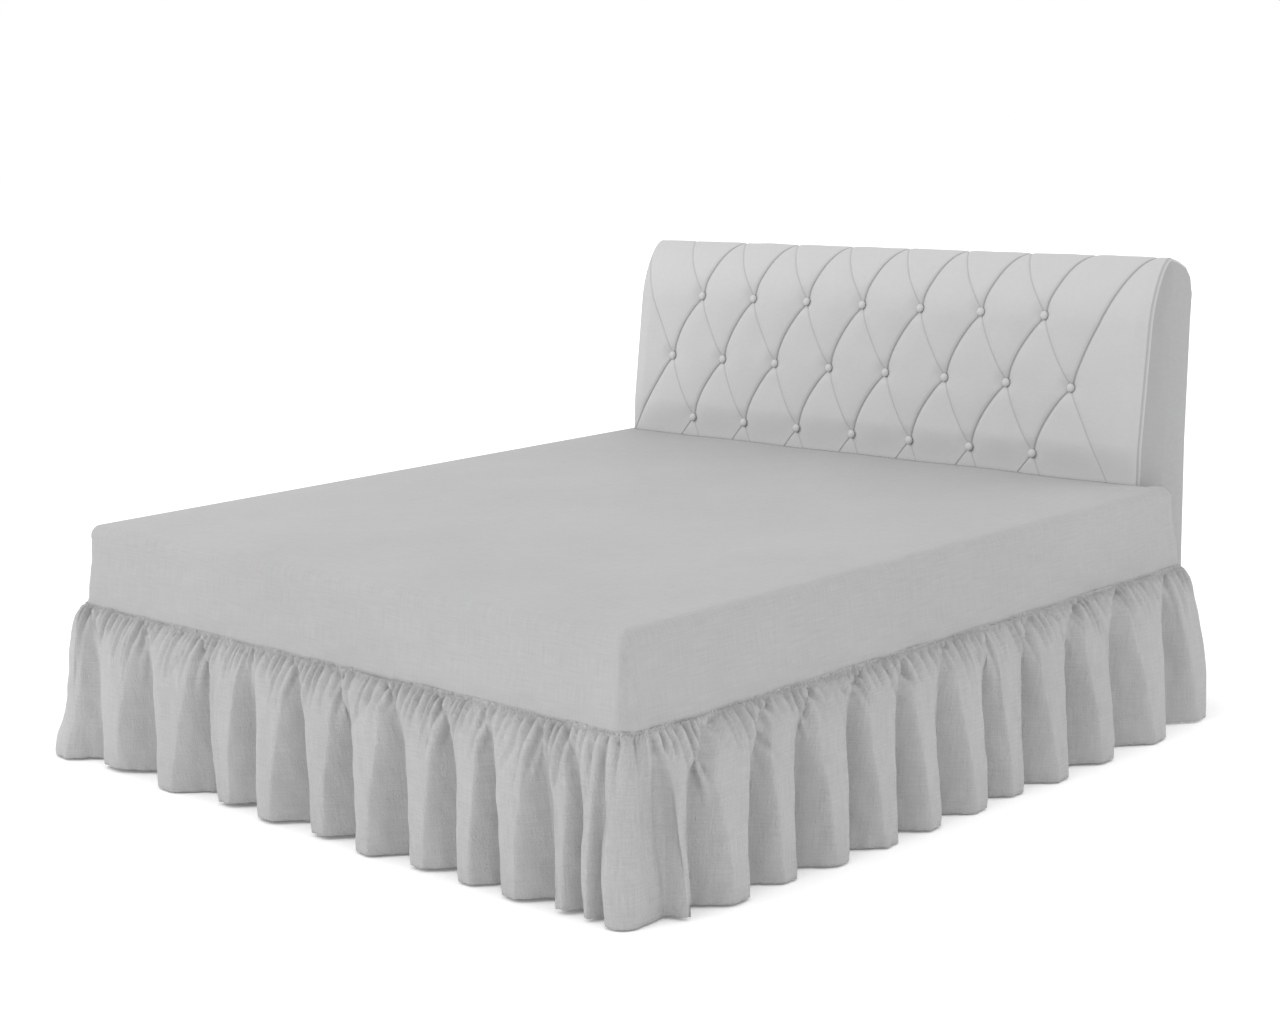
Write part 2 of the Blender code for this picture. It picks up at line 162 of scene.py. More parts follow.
HALF = 1.000  # the mattress is 2.0 m square
CORNER_R = 0.020
MATTRESS_TOP = 0.6065
TOUCH = 0.0003
CAD_CLOTH = 0.002
TOP_CLOTH = 0.0012
SHOULDER_OUT = 0.004
SHOULDER_R = 0.030
SEAM_Z = 0.397
SEAM_OUT = 0.029
TOP_END = HALF - 0.003
CLOTH_END = HALF + 0.035
FLAT_INSET = 0.050
TOP_STEPS = 130  # columns along each side of the bed
ARC_STEPS = 10
DROP_STEPS = 16
SHOULDER_STEPS = 6
CORNER_SEAM_DEPTH = 0.008
CORNER_SEAM_HALF = 0.008
CLOTH_COLOUR = (0.357, 0.357, 0.359)

SIDE_RUN = HALF + CLOTH_END - CORNER_R
FOOT_RUN = 2.0 * (HALF - CORNER_R)
ARC_RUN = CORNER_R * math.pi / 2.0
OUTLINE_RUN = 2.0 * (SIDE_RUN + ARC_RUN) + FOOT_RUN
LEFT_CORNER = SIDE_RUN + ARC_RUN / 2.0
NEAR_CORNER = OUTLINE_RUN - LEFT_CORNER


def smooth(x):
    """A soft step from 0 to 1."""
    x = np.clip(x, 0.0, 1.0)
    return x * x * (3.0 - 2.0 * x)


def mix(a, b, t):
    return a + (b - a) * t


def around_bed(run, out):
    """x and y, `out` metres outside the mattress edge, `run` metres along it from the head's left end."""
    inner = HALF + np.minimum(out, -CORNER_R)
    reach = np.maximum(CORNER_R + out, 0.0)
    scale = inner / (HALF - CORNER_R)
    arc_a = (run - SIDE_RUN) / CORNER_R
    on_foot = run - SIDE_RUN - ARC_RUN
    arc_b = (on_foot - FOOT_RUN) / CORNER_R
    on_right = on_foot - FOOT_RUN - ARC_RUN
    place = [run < SIDE_RUN, on_foot < 0.0, on_foot < FOOT_RUN, on_right < 0.0]
    ends = [
        -inner - reach,
        -inner - reach * np.cos(arc_a),
        -inner + on_foot * scale,
        inner + reach * np.sin(arc_b),
    ]
    x = np.select(place, ends, inner + reach)
    ends = [
        mix(CLOTH_END, -inner, run / SIDE_RUN),
        -inner - reach * np.sin(arc_a),
        -inner - reach + 0.0 * run,
        -inner - reach * np.cos(arc_b),
    ]
    y = np.select(place, ends, mix(-inner, CLOTH_END, on_right / SIDE_RUN))
    return x, y


def rumple(u, v, size, seed):
    """Soft unevenness from about -1 to 1, in bumps about `size` metres across."""
    rng = np.random.default_rng(seed)
    total = np.zeros(np.broadcast(u, v).shape)
    for turn, stretch, start in rng.uniform(0.0, 1.0, (16, 3)):
        pace = math.pi / size * (0.6 + 0.8 * stretch)
        angle = math.pi * turn
        total += np.sin(pace * (u * math.cos(angle) + v * math.sin(angle)) + 2.0 * math.pi * start)
    return total / 4.0


def gather_line(pitch_low, pitch_high, seed):
    """Places along the seam where gathers meet, with each gather's own height and length, 0 to 1."""
    rng = np.random.default_rng(seed)
    steps = rng.uniform(pitch_low, pitch_high, int(OUTLINE_RUN / pitch_low) + 2)
    edges = np.concatenate([[0.0], np.cumsum(steps)])
    return edges, rng.uniform(0.0, 1.0, len(edges)), rng.uniform(0.0, 1.0, len(edges))


def gathered(run, line):
    """Across one row of gathers: each gather's round, its height and its length."""
    edges, heights, lengths = line
    count = np.interp(run, edges, np.arange(len(edges)))
    which = np.clip(count.astype(int), 0, len(edges) - 2)
    return np.sin(math.pi * (count - which)) ** 0.75, heights[which], lengths[which]


def sheet_mesh(name, points, faces, flat_places):
    """A smooth mesh with the cloth's own flat places, in metres, as the UV map "cloth"."""
    mesh = bpy.data.meshes.new(name)
    mesh.from_pydata([tuple(p) for p in points], [], faces)
    mesh.shade_smooth()
    layer = mesh.uv_layers.new(name="cloth")
    places = flat_places(mesh)
    layer.data.foreach_set("uv", np.asarray(places, dtype=np.float32).ravel())
    return mesh


def grid_faces(starts, count, flip=False):
    """Quads between rows of `count` points; `starts` has the number of each row's first point."""
    quads = []
    for a, b in zip(starts, starts[1:]):
        for i in range(count - 1):
            quad = (a + i, a + i + 1, b + i + 1, b + i)
            quads.append((quad[0], *quad[:0:-1]) if flip else quad)
    return quads


def placed(name, mesh, finish):
    """The mesh as a piece of the bed, with its finish."""
    mesh.materials.clear()
    mesh.materials.append(finish)
    piece = in_scene(name, mesh)
    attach(piece, "root")
    return piece


def deck_height(x, y):
    """The lie of the flat of the cloth: a little full in the middle, slack by the head's right end."""
    crown = 0.003 * (1.0 - (x / HALF) ** 2) * (1.0 - (y / HALF) ** 2)
    slack = 0.003 * np.exp(-(((x - 0.80) / 0.14) ** 2 + ((y - 0.86) / 0.10) ** 2))
    within = smooth((HALF - np.maximum(np.abs(x), -y)) / 0.15)
    uneven = 0.0012 * rumple(x, y, 0.22, 3) * within
    creased = 0.0022 * rumple(x, 1.6 * y, 0.040, 4) * np.exp(
        -(((x - 0.93) / 0.07) ** 2 + ((y - 0.93) / 0.06) ** 2)
    )
    return MATTRESS_TOP + TOUCH + CAD_CLOTH + crown + slack + uneven + creased


# Columns of the drops, from the head's left end round the foot to the head's right end
past_end = CLOTH_END - TOP_END
left_columns = np.concatenate(
    [
        [0.0, past_end / 2.0],
        np.linspace(past_end, SIDE_RUN, TOP_STEPS + 1)[:-1],
        SIDE_RUN + np.linspace(0.0, ARC_RUN, ARC_STEPS + 1)[:-1],
    ]
)
foot_columns = SIDE_RUN + ARC_RUN + np.linspace(0.0, FOOT_RUN, TOP_STEPS + 1)
columns = np.concatenate([left_columns, foot_columns, OUTLINE_RUN - left_columns[::-1]])
gathers = gather_line(0.022, 0.036, 11)
shoulder_z = MATTRESS_TOP + TOUCH + CAD_CLOTH - SHOULDER_R
corner_seam = np.exp(-(((columns - LEFT_CORNER) / CORNER_SEAM_HALF) ** 2))
corner_seam += np.exp(-(((columns - NEAR_CORNER) / CORNER_SEAM_HALF) ** 2))
rows = []
for fall in np.linspace(1.0, 0.0, DROP_STEPS + 1)[:-1]:
    out = mix(SHOULDER_OUT, SEAM_OUT, fall**1.2) + 0.0 * columns
    swell, height, _ = gathered(columns, gathers)
    out += 0.0022 * (swell - 0.6) * (0.4 + height) * smooth((fall - 0.80) / 0.20)
    out += 0.0011 * rumple(columns, fall * 0.6, 0.09, 5) * smooth(fall / 0.3)
    out -= CORNER_SEAM_DEPTH * corner_seam * smooth(fall / 0.12) * smooth((1.0 - fall) / 0.12)
    x, y = around_bed(columns, out)
    z = mix(shoulder_z, SEAM_Z + TOUCH, fall) + 0.0 * columns
    rows.append(np.stack([x, y, z], axis=1))
for angle in np.linspace(0.0, math.pi / 2.0, SHOULDER_STEPS + 1):
    out = SHOULDER_OUT - SHOULDER_R * (1.0 - math.cos(angle)) + 0.0 * columns
    x, y = around_bed(columns, out)
    z = shoulder_z + SHOULDER_R * math.sin(angle) + 0.0 * columns
    rows.append(np.stack([x, y, z], axis=1))
x, y = around_bed(columns, -FLAT_INSET + 0.0 * columns)
rows.append(np.stack([x, y, deck_height(x, y)], axis=1))

points = [point for row in rows[:-1] for point in row]
count = len(columns)
faces = grid_faces(range(0, (len(rows) - 1) * count, count), count)
# The ring round the flat has one point at each foot corner, and a plain grid fills it
ring = []
for i, point in enumerate(rows[-1]):
    if i and np.hypot(*(point - rows[-1][i - 1])[:2]) < 1e-6:
        ring.append(ring[-1])
        continue
    ring.append(len(points))
    points.append(point)
upper = (len(rows) - 2) * count
for i in range(count - 1):
    corners = [upper + i, upper + i + 1, ring[i + 1], ring[i]]
    if ring[i + 1] == ring[i]:
        corners = corners[:3]
    faces.append(tuple(corners))
corner = 2 + TOP_STEPS
left = ring[2 : corner + 1]
foot = ring[corner + ARC_STEPS : corner + ARC_STEPS + TOP_STEPS + 1]
right = list(reversed(ring))[2 : corner + 1]
grid = []
for a, b in zip(left[:-1], right[:-1]):
    row = [a]
    y = points[a][1]
    for column in foot[1:-1]:
        x = points[column][0]
        row.append(len(points))
        points.append(np.array([x, y, deck_height(x, y)]))
    grid.append(row + [b])
grid.append(foot)
for upper_row, lower_row in zip(grid, grid[1:]):
    for i in range(TOP_STEPS):
        faces.append((lower_row[i], lower_row[i + 1], upper_row[i + 1], upper_row[i]))


def top_flat_places(mesh):
    """The flat cloth: the deck as it lies, with each drop folded out to its own side."""
    co = np.array(points)
    places = []
    for polygon in mesh.polygons:
        middle = np.mean([co[v] for v in polygon.vertices], axis=0)
        on_side = abs(middle[0]) > -middle[1]
        for v in polygon.vertices:
            x, y, z = co[v]
            down = max(MATTRESS_TOP - z, 0.0)
            if on_side:
                places.append((x + math.copysign(down, x), y))
            else:
                places.append((x, y - down))
    return places


top_mesh = sheet_mesh("fitted_top_cloth", points, faces, top_flat_places)


def plug(tree, socket, value):
    """Sets a socket to a number or colour, or feeds it from another node's output."""
    if isinstance(value, bpy.types.NodeSocket):
        tree.links.new(value, socket)
    else:
        socket.default_value = value


def feed(tree, node, **values):
    """Sets or feeds a node's inputs by name."""
    for name, value in values.items():
        plug(tree, node.inputs[name.replace("_", " ")], value)


def put(tree, kind, **values):
    """Adds a shader node of a kind, with its inputs set by name."""
    node = tree.nodes.new("ShaderNode" + kind)
    feed(tree, node, **values)
    return node


def noise(tree, place, detail, scale=1.0):
    """A soft noise over the surface, about 0.5."""
    return put(tree, "TexNoise", Vector=place, Scale=scale, Detail=detail).outputs["Fac"]


def calc(tree, operation, *values):
    """One sum on numbers or on other nodes' outputs."""
    node = tree.nodes.new("ShaderNodeMath")
    node.operation = operation
    for socket, value in zip(node.inputs, values):
        plug(tree, socket, value)
    return node.outputs[0]


def stretched(tree, place, across, down):
    """The cloth's place with each direction divided by a length in metres, to feed a texture."""
    node = tree.nodes.new("ShaderNodeVectorMath")
    node.operation = "MULTIPLY"
    plug(tree, node.inputs[0], place)
    node.inputs[1].default_value = (1.0 / across, 1.0 / down, 1.0)
    return node.outputs[0]


def new_group(name, inputs, outputs):
    """A shader node group with named float or vector inputs and float outputs."""
    tree = bpy.data.node_groups.new(name, "ShaderNodeTree")
    for socket, kind, value in inputs:
        made = tree.interface.new_socket(socket, in_out="INPUT", socket_type=kind)
        if value is not None:
            made.default_value = value
    for socket in outputs:
        tree.interface.new_socket(socket, in_out="OUTPUT", socket_type="NodeSocketFloat")
    return tree, tree.nodes.new("NodeGroupInput").outputs, tree.nodes.new("NodeGroupOutput").inputs


def use_group(tree, group, **values):
    """Places a group in a material, with its own values."""
    node = tree.nodes.new("ShaderNodeGroup")
    node.node_tree = group
    feed(tree, node, **values)
    return node.outputs


def between(tree, share, first, second):
    """A colour between two, by a mask."""
    shade = tree.nodes.new("ShaderNodeMix")
    shade.data_type = "RGBA"
    plug(tree, shade.inputs["Factor"], share)
    plug(tree, shade.inputs[6], first)
    plug(tree, shade.inputs[7], second)
    return shade.outputs[2]


def relief(tree, height):
    """The way the surface faces, once a height in metres stands on it."""
    return put(tree, "Bump", Height=height, Distance=1.0, Strength=1.0).outputs["Normal"]


def tinted(colour, share):
    """A colour made lighter or darker, for a socket."""
    return tuple(c * share for c in colour) + (1.0,)


# Plain weave: threads over and under, some of them thicker for a stretch, which show as fine
# streaks both ways. Height is in metres; Streaks is a mask about 0.5.
weave, taken, given = new_group(
    "plain_weave",
    (
        ("Cloth", "NodeSocketVector", None),
        ("Thread", "NodeSocketFloat", 0.0011),
        ("Relief", "NodeSocketFloat", 0.00012),
    ),
    ("Height", "Streaks"),
)
split = put(weave, "SeparateXYZ", Vector=taken["Cloth"])
waves = []
for axis in ("X", "Y"):
    turns = calc(weave, "DIVIDE", split.outputs[axis], taken["Thread"])
    waves.append(calc(weave, "SINE", calc(weave, "MULTIPLY", turns, math.pi)))
crossing = calc(weave, "MULTIPLY", waves[0], waves[1])
warp = noise(weave, stretched(weave, taken["Cloth"], 0.0032, 0.075), 3.0)
weft = noise(weave, stretched(weave, taken["Cloth"], 0.075, 0.0032), 3.0)
streaks = calc(weave, "MULTIPLY", calc(weave, "ADD", warp, weft), 0.5)
thick = calc(weave, "MULTIPLY", calc(weave, "SUBTRACT", streaks, 0.5), 3.0)
bumps = calc(weave, "ADD", calc(weave, "MULTIPLY", crossing, 0.5), thick)
plug(weave, given["Height"], calc(weave, "MULTIPLY", bumps, taken["Relief"]))
plug(weave, given["Streaks"], streaks)

# Washed crinkle: the small soft creases that cotton dries with, longer down the cloth than across.
crinkle, taken, given = new_group(
    "washed_crinkle",
    (
        ("Cloth", "NodeSocketVector", None),
        ("Size", "NodeSocketFloat", 0.012),
        ("Relief", "NodeSocketFloat", 0.0006),
    ),
    ("Height",),
)
sized = put(crinkle, "VectorMath")
sized.operation = "DIVIDE"
longer = calc(crinkle, "MULTIPLY", taken["Size"], 1.7)
spread = put(crinkle, "CombineXYZ", X=taken["Size"], Y=longer, Z=1.0)
plug(crinkle, sized.inputs[0], taken["Cloth"])
plug(crinkle, sized.inputs[1], spread.outputs[0])
creases = put(crinkle, "TexNoise", Vector=sized.outputs[0], Scale=1.0, Detail=3.0, Distortion=0.6)
ridges = calc(crinkle, "ABSOLUTE", calc(crinkle, "SUBTRACT", creases.outputs["Fac"], 0.5))
steep = calc(crinkle, "MULTIPLY", ridges, 4.0)
plug(crinkle, given["Height"], calc(crinkle, "MULTIPLY", steep, taken["Relief"]))


def woven_cloth(name, colour, contrast, weave_relief, crinkle_size, crinkle_relief):
    """A cotton cloth: its weave, its washed crinkle, and a colour that follows its streaks."""
    finish, tree, shader = new_finish(
        name, Specular_IOR_Level=0.25, Sheen_Weight=0.08, Sheen_Roughness=0.5
    )
    place = put(tree, "UVMap")
    place.uv_map = "cloth"
    cloth = place.outputs[0]
    threads = use_group(tree, weave, Cloth=cloth, Relief=weave_relief)
    creased = use_group(tree, crinkle, Cloth=cloth, Size=crinkle_size, Relief=crinkle_relief)
    patches = noise(tree, cloth, 2.0, 2.2)
    streaks = calc(tree, "MULTIPLY", threads["Streaks"], 0.75)
    uneven = calc(tree, "MULTIPLY_ADD", patches, 0.25, streaks)
    tone = put(tree, "MapRange", Value=uneven, From_Min=0.35, From_Max=0.65)
    dark, light = tinted(colour, 1.0 - contrast), tinted(colour, 1.0 + contrast)
    feed(
        tree,
        shader,
        Base_Color=between(tree, tone.outputs["Result"], dark, light),
        Roughness=calc(tree, "MULTIPLY_ADD", threads["Streaks"], 0.2, 0.75),
        Normal=relief(tree, calc(tree, "ADD", threads["Height"], creased["Height"])),
    )
    return finish


top_cloth = woven_cloth("skirt_cotton", CLOTH_COLOUR, 0.085, 0.00014, 0.030, 0.00014)
fitted_top = placed("fitted_top_cloth", top_mesh, top_cloth)
thickness = fitted_top.modifiers.new("cloth thickness", "SOLIDIFY")
thickness.thickness = TOP_CLOTH
thickness.offset = -1.0
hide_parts("fitted_top")

# ---------------------------------------------------------------- frill
# The frill is one long strip of the same cotton, gathered to seven tenths of it and sewn to
# the lower edge of the drops on three sides. It hangs in deep folds to a turned and stitched hem.

HEM_Z = 0.004
HEM_OUT = 0.038
END_FLARE = 0.005  # how far the free ends lean towards the head at the hem
END_REACH = 0.20
END_PHASE = 0.80  # how much of its end fold the strip has at each free end
PUFF_OUT = 0.022
# Shares of the fall over which the cloth puffs out below the seam, the folds grow deep, and a
# fold's slit moves from its place at the seam to its place at the hem
PUFF_FALL = 0.08
DEPTH_FALL = 0.35
DRIFT_FALL = 0.15
KICK_FALL = 0.35  # where a kicked fold begins to leave the others
CORNER_TIP = 0.028  # how far the left corner is kicked out at the very hem
CORNER_TIP_HALF = 0.07
SHARED_FALL = 0.75  # where the folds share out the strip by their own length
EVEN_FALL = 0.60  # where the gathered threads have come to their own places
FRILL_COLUMNS = 1750
FRILL_ROWS = 40
SEAM_ROWS = (0.0, 0.006, 0.013, 0.021, 0.030, 0.040)  # rows of the closely puckered band
HEM_TURN = 0.013
TUCK_IN = 0.003
TUCK_UP = 0.006
# The same cotton as the top's, painted about a tenth lighter: painted light on the frill.
FRILL_LIT_COLOUR = (0.392, 0.392, 0.394)

# One row for each fold, from the foot's left corner round to the head's right end. width runs
# along the mattress edge at the hem; depth is how far the ridge stands out of the hollows; swell
# pushes the cloth out below the seam, kick pushes it out at the hem; lift raises the hem. turn is
# 1 where the fold's sharp flank comes first, going from left to right, and -1 where it comes
# last; drift is how far along the bed that flank starts at the seam, from its place at the hem;
# crisp is 1 where it stays steep all the way up, and 0 where it leans over softly above the hem.
Fold = namedtuple("Fold", "width depth swell kick lift turn drift crisp")
FOOT_FOLDS = (
    (0.183, 0.040, 0.010, 0.030, 0.002, 1, -0.050, 0.3),  # left corner, kicked out to a tip
    (0.259, 0.074, 0.002, 0.000, 0.004, 1, -0.099, 0.2),
    (0.253, 0.082, 0.004, 0.004, 0.000, 1, -0.113, 0.3),
    (0.166, 0.068, 0.000, 0.000, 0.006, 1, -0.117, 1.0),
    (0.206, 0.076, 0.000, 0.003, 0.001, 1, -0.064, 0.1),
    (0.176, 0.068, 0.002, 0.000, 0.005, 1, -0.111, 0.4),
    (0.184, 0.078, 0.004, 0.004, 0.000, 1, -0.120, 0.3),
    (0.166, 0.068, 0.000, 0.000, 0.004, 1, -0.119, 0.4),
    (0.135, 0.062, 0.000, 0.003, 0.001, 1, -0.106, 0.6),
    (0.173, 0.070, 0.002, 0.000, 0.003, 1, -0.094, 0.4),
    (0.081, 0.044, 0.000, 0.012, 0.005, 1, -0.090, 0.2),
    (0.052, 0.034, 0.000, 0.018, 0.004, 1, -0.088, 0.3),
    (0.027, 0.034, 0.002, 0.030, 0.000, 1, 0.010, 0.3),  # near corner
)
SIDE_FOLDS = (
    (0.054, 0.050, 0.000, 0.016, 0.002, -1, 0.167, 0.3),  # near corner, on the side
    (0.198, 0.074, 0.002, 0.012, 0.002, -1, 0.137, 0.3),
    (0.147, 0.064, 0.000, 0.014, 0.000, -1, 0.132, 0.5),
    (0.171, 0.074, 0.002, 0.020, 0.001, -1, 0.126, 0.6),
    (0.173, 0.070, 0.004, 0.028, 0.000, -1, 0.115, 0.3),
    (0.153, 0.070, 0.002, 0.032, 0.002, -1, 0.114, 0.4),
    (0.186, 0.072, 0.002, 0.034, 0.000, -1, 0.077, 0.3),
    (0.142, 0.058, 0.002, 0.036, 0.001, -1, 0.115, 1.0),
    (0.175, 0.076, 0.004, 0.038, 0.000, -1, 0.151, 0.3),
    (0.198, 0.076, 0.002, 0.036, 0.002, -1, 0.130, 0.5),
    (0.252, 0.080, 0.004, 0.034, 0.000, -1, 0.100, 0.4),
    (0.212, 0.066, 0.000, 0.026, 0.001, -1, 0.000, 0.3),  # head end
)

# The main creases within the folds: troughs that open below the seam and run out. place and drop
# are metres along the seam from the near corner, negative on the foot, at the crease's top and at
# its end; top and end are shares of the fall; width is in metres at its widest.
Crease = namedtuple("Crease", "place top drop end width depth")
CREASE_ROWS = (
    # between the folds' main slits, on the foot
    (-1.89, 0.01, -1.86, 0.15, 0.007, 0.005),
    (-1.65, 0.01, -1.62, 0.13, 0.007, 0.005),
    (-1.42, 0.01, -1.38, 0.14, 0.009, 0.006),
    (-1.27, 0.01, -1.24, 0.09, 0.006, 0.004),
    (-1.19, 0.01, -1.13, 0.09, 0.007, 0.005),
    (-1.03, 0.01, -1.03, 0.16, 0.008, 0.006),
    (-0.89, 0.01, -0.83, 0.10, 0.007, 0.005),
    (-0.70, 0.01, -0.65, 0.14, 0.008, 0.006),
    (-0.62, 0.01, -0.59, 0.11, 0.006, 0.004),
    (-0.51, 0.01, -0.51, 0.20, 0.008, 0.006),
    (-0.44, 0.01, -0.40, 0.10, 0.006, 0.004),
    (-0.35, 0.01, -0.35, 0.25, 0.009, 0.007),
    (-0.20, 0.01, -0.21, 0.14, 0.006, 0.004),
    (-0.13, 0.01, -0.08, 0.14, 0.007, 0.005),
    (-0.07, 0.01, -0.03, 0.21, 0.008, 0.006),
    # round the near corner and up the side
    (0.00, 0.01, 0.00, 0.19, 0.008, 0.005),
    (0.02, 0.05, 0.04, 1.10, 0.022, 0.013),
    (0.05, 0.01, 0.04, 0.13, 0.006, 0.004),
    (0.08, 0.01, 0.06, 0.23, 0.008, 0.006),
    (0.13, 0.01, 0.13, 0.13, 0.006, 0.004),
    (0.15, 0.01, 0.24, 0.16, 0.007, 0.005),
    (0.37, 0.02, 0.39, 0.16, 0.007, 0.005),
    (0.45, 0.02, 0.47, 0.20, 0.007, 0.005),
    (0.51, 0.02, 0.54, 0.20, 0.007, 0.005),
    (0.59, 0.02, 0.65, 0.17, 0.007, 0.005),
    (0.66, 0.02, 0.70, 0.17, 0.006, 0.005),
    (0.82, 0.02, 0.85, 0.21, 0.008, 0.006),
    (0.99, 0.02, 1.00, 0.15, 0.006, 0.004),
    (1.08, 0.02, 1.11, 0.29, 0.009, 0.006),
    (1.27, 0.02, 1.27, 0.15, 0.006, 0.004),
    (1.51, 0.02, 1.51, 0.21, 0.007, 0.005),
    (1.63, 0.02, 1.64, 0.18, 0.006, 0.004),
    (1.70, 0.02, 1.71, 0.15, 0.007, 0.005),
    (1.84, 0.02, 1.83, 0.15, 0.007, 0.005),
    (1.91, 0.01, 1.89, 0.15, 0.006, 0.004),
    (2.00, 0.01, 1.99, 0.18, 0.006, 0.004),
    # long soft creases that run off from every third slit, and a short lip above each
    (-1.46, 0.03, -1.56, 0.36, 0.013, 0.007),
    (-1.52, 0.01, -1.59, 0.07, 0.008, 0.007),
    (-0.75, 0.05, -0.82, 0.33, 0.013, 0.007),
    (-0.26, 0.08, -0.31, 0.40, 0.013, 0.007),
    (-0.26, 0.01, -0.33, 0.09, 0.008, 0.007),
    (0.30, 0.08, 0.38, 0.44, 0.013, 0.007),
    (0.29, 0.02, 0.36, 0.12, 0.008, 0.007),
    (0.76, 0.08, 0.81, 0.32, 0.012, 0.007),
    (0.75, 0.02, 0.81, 0.11, 0.008, 0.007),
    (1.42, 0.10, 1.45, 0.34, 0.012, 0.006),
    (1.40, 0.01, 1.46, 0.09, 0.008, 0.007),
)
CREASES = [Crease(*row) for row in CREASE_ROWS]

seen_folds = [Fold(*row) for row in FOOT_FOLDS + SIDE_FOLDS]
side_folds = seen_folds[len(FOOT_FOLDS) + 1 :]
left_folds = [fold._replace(turn=1, drift=-fold.drift) for fold in reversed(side_folds)]
seen_run = sum(fold.width for fold in seen_folds) - (1.0 - END_PHASE) * seen_folds[-1].width
left_run = sum(fold.width for fold in left_folds) - (1.0 - END_PHASE) * left_folds[0].width
left_scale = (OUTLINE_RUN - seen_run) / left_run
folds = [fold._replace(width=fold.width * left_scale) for fold in left_folds] + seen_folds
fold_table = {name: np.array([getattr(fold, name) for fold in folds]) for name in Fold._fields}
fold_starts = np.concatenate([[0.0], np.cumsum(fold_table["width"])[:-1]])
fold_starts -= (1.0 - END_PHASE) * folds[0].width
drifts = np.zeros(len(folds) + 1)
for number, fold in enumerate(folds):
    drifts[number if fold.turn > 0 else number + 1] = fold.drift


def drifted(index, phase):
    """How far along the bed a thread starts at the seam, from its place at the hem."""
    share = np.where(index == 0, (phase - 1.0 + END_PHASE) / END_PHASE, phase)
    share = np.where(index == len(folds) - 1, phase / END_PHASE, share)
    return mix(drifts[index], drifts[index + 1], np.clip(share, 0.0, 1.0))


def ridge(index, phase, fall):
    """How far a fold stands out, 0 to 1, across its width. The hollow opens from a slit at the seam."""
    turn = fold_table["turn"][index]
    share = np.where(turn > 0, phase, 1.0 - phase)
    after = np.clip(index + turn, 0, len(folds) - 1)
    middle = smooth(fall / 0.12) * (1.0 - smooth((fall - 0.60) / 0.40))
    lean = (1.0 - fold_table["crisp"][index]) * middle
    lean_after = (1.0 - fold_table["crisp"][after]) * middle
    hollow = 0.16 * (1.0 - math.exp(-fall / 0.05)) + 0.44 * fall + 0.08 * lean_after
    sharp = mix(0.08, 0.15, fall)
    soft = mix(0.12, 0.42, fall)
    flank = np.clip((share - 1.0 + hollow) / soft, 0.0, 1.0)
    crown = 1.0 - 0.10 * np.clip(1.0 - share / (1.0 - hollow), 0.0, 1.0) ** 2
    rise = smooth((share + 0.26 * lean) / (sharp + 0.38 * lean))
    # A soft fold starts to rise within the hollow of the one before it
    rise_after = smooth((share - 1.0 + 0.26 * lean_after) / (sharp + 0.38 * lean_after))
    rise_after *= fold_table["turn"][after] == turn
    return rise * crown * (1.0 - mix(smooth(flank), flank, 0.6)) + 0.9 * rise_after


def hanging(index, phase, fall):
    """Points of the frill's face in the folds numbered `index`, `phase` across each, `fall` down it."""
    own = 0.5 + np.minimum(0.5 - np.abs(phase - 0.5), 0.25) * 2.0
    beside = np.clip(index + np.where(phase < 0.5, -1, 1), 0, len(folds) - 1)

    def eased(name):
        return mix(fold_table[name][beside], fold_table[name][index], own)

    grown = (1.0 - math.exp(-fall / DEPTH_FALL)) / (1.0 - math.exp(-1.0 / DEPTH_FALL))
    kicked = eased("kick") * smooth((fall - KICK_FALL) / (1.0 - KICK_FALL))
    out = mix(SEAM_OUT, HEM_OUT, fall**1.4) + kicked
    out += (PUFF_OUT + eased("swell")) * (1.0 - math.exp(-fall / PUFF_FALL)) * (1.0 - fall**2)
    out += eased("depth") * ridge(index, phase, fall) * grown
    along = fold_starts[index] + phase * fold_table["width"][index]
    # On the bed's sides a kicked fold also swings towards the foot
    swing = smooth((SIDE_RUN - along) / 0.2) - smooth((along - OUTLINE_RUN + SIDE_RUN) / 0.2)
    along = along + swing * kicked + drifted(index, phase) * math.exp(-fall / DRIFT_FALL)
    tip = np.exp(-(((along - LEFT_CORNER) / CORNER_TIP_HALF) ** 2))
    out += CORNER_TIP * tip * smooth((fall - 0.70) / 0.30)
    x, y = around_bed(along, out)
    from_end = np.minimum(along, OUTLINE_RUN - along)
    y = y + END_FLARE * fall * (1.0 - smooth(from_end / END_REACH))
    z = mix(SEAM_Z, HEM_Z + eased("lift"), fall)
    return np.stack([x, y, z], axis=-1), along


# Each fold takes its share of the strip: how much cloth there is from its start to each phase
phases = np.linspace(0.0, 1.0, 61)
cloth_in_fold = []
for index in range(len(folds)):
    line, _ = hanging(np.full(61, index), phases, SHARED_FALL)
    steps = np.linalg.norm(np.diff(line, axis=0), axis=1)
    cloth_in_fold.append(np.concatenate([[0.0], np.cumsum(steps)]))
first_cloth = np.interp(1.0 - END_PHASE, phases, cloth_in_fold[0])
last_cloth = np.interp(END_PHASE, phases, cloth_in_fold[-1])
cloth_ends = np.cumsum([line[-1] for line in cloth_in_fold])
strip_start = first_cloth
strip_end = cloth_ends[-2] + last_cloth


def places(threads):
    """Each thread's fold, and how far across it the thread lies at the hem and at the seam."""
    index = np.searchsorted(cloth_ends, threads, side="right").clip(0, len(folds) - 1)
    into = threads - np.concatenate([[0.0], cloth_ends])[index]
    at_hem = np.array([np.interp(c, cloth_in_fold[k], phases) for c, k in zip(into, index)])
    at_seam = into / np.array([cloth_in_fold[k][-1] for k in index])
    first = index == 0
    into_first = (into[first] - first_cloth) / (cloth_ends[0] - first_cloth)
    at_seam[first] = mix(1.0 - END_PHASE, 1.0, into_first)
    last = index == len(folds) - 1
    at_seam[last] = END_PHASE * into[last] / last_cloth
    return index, at_hem, at_seam


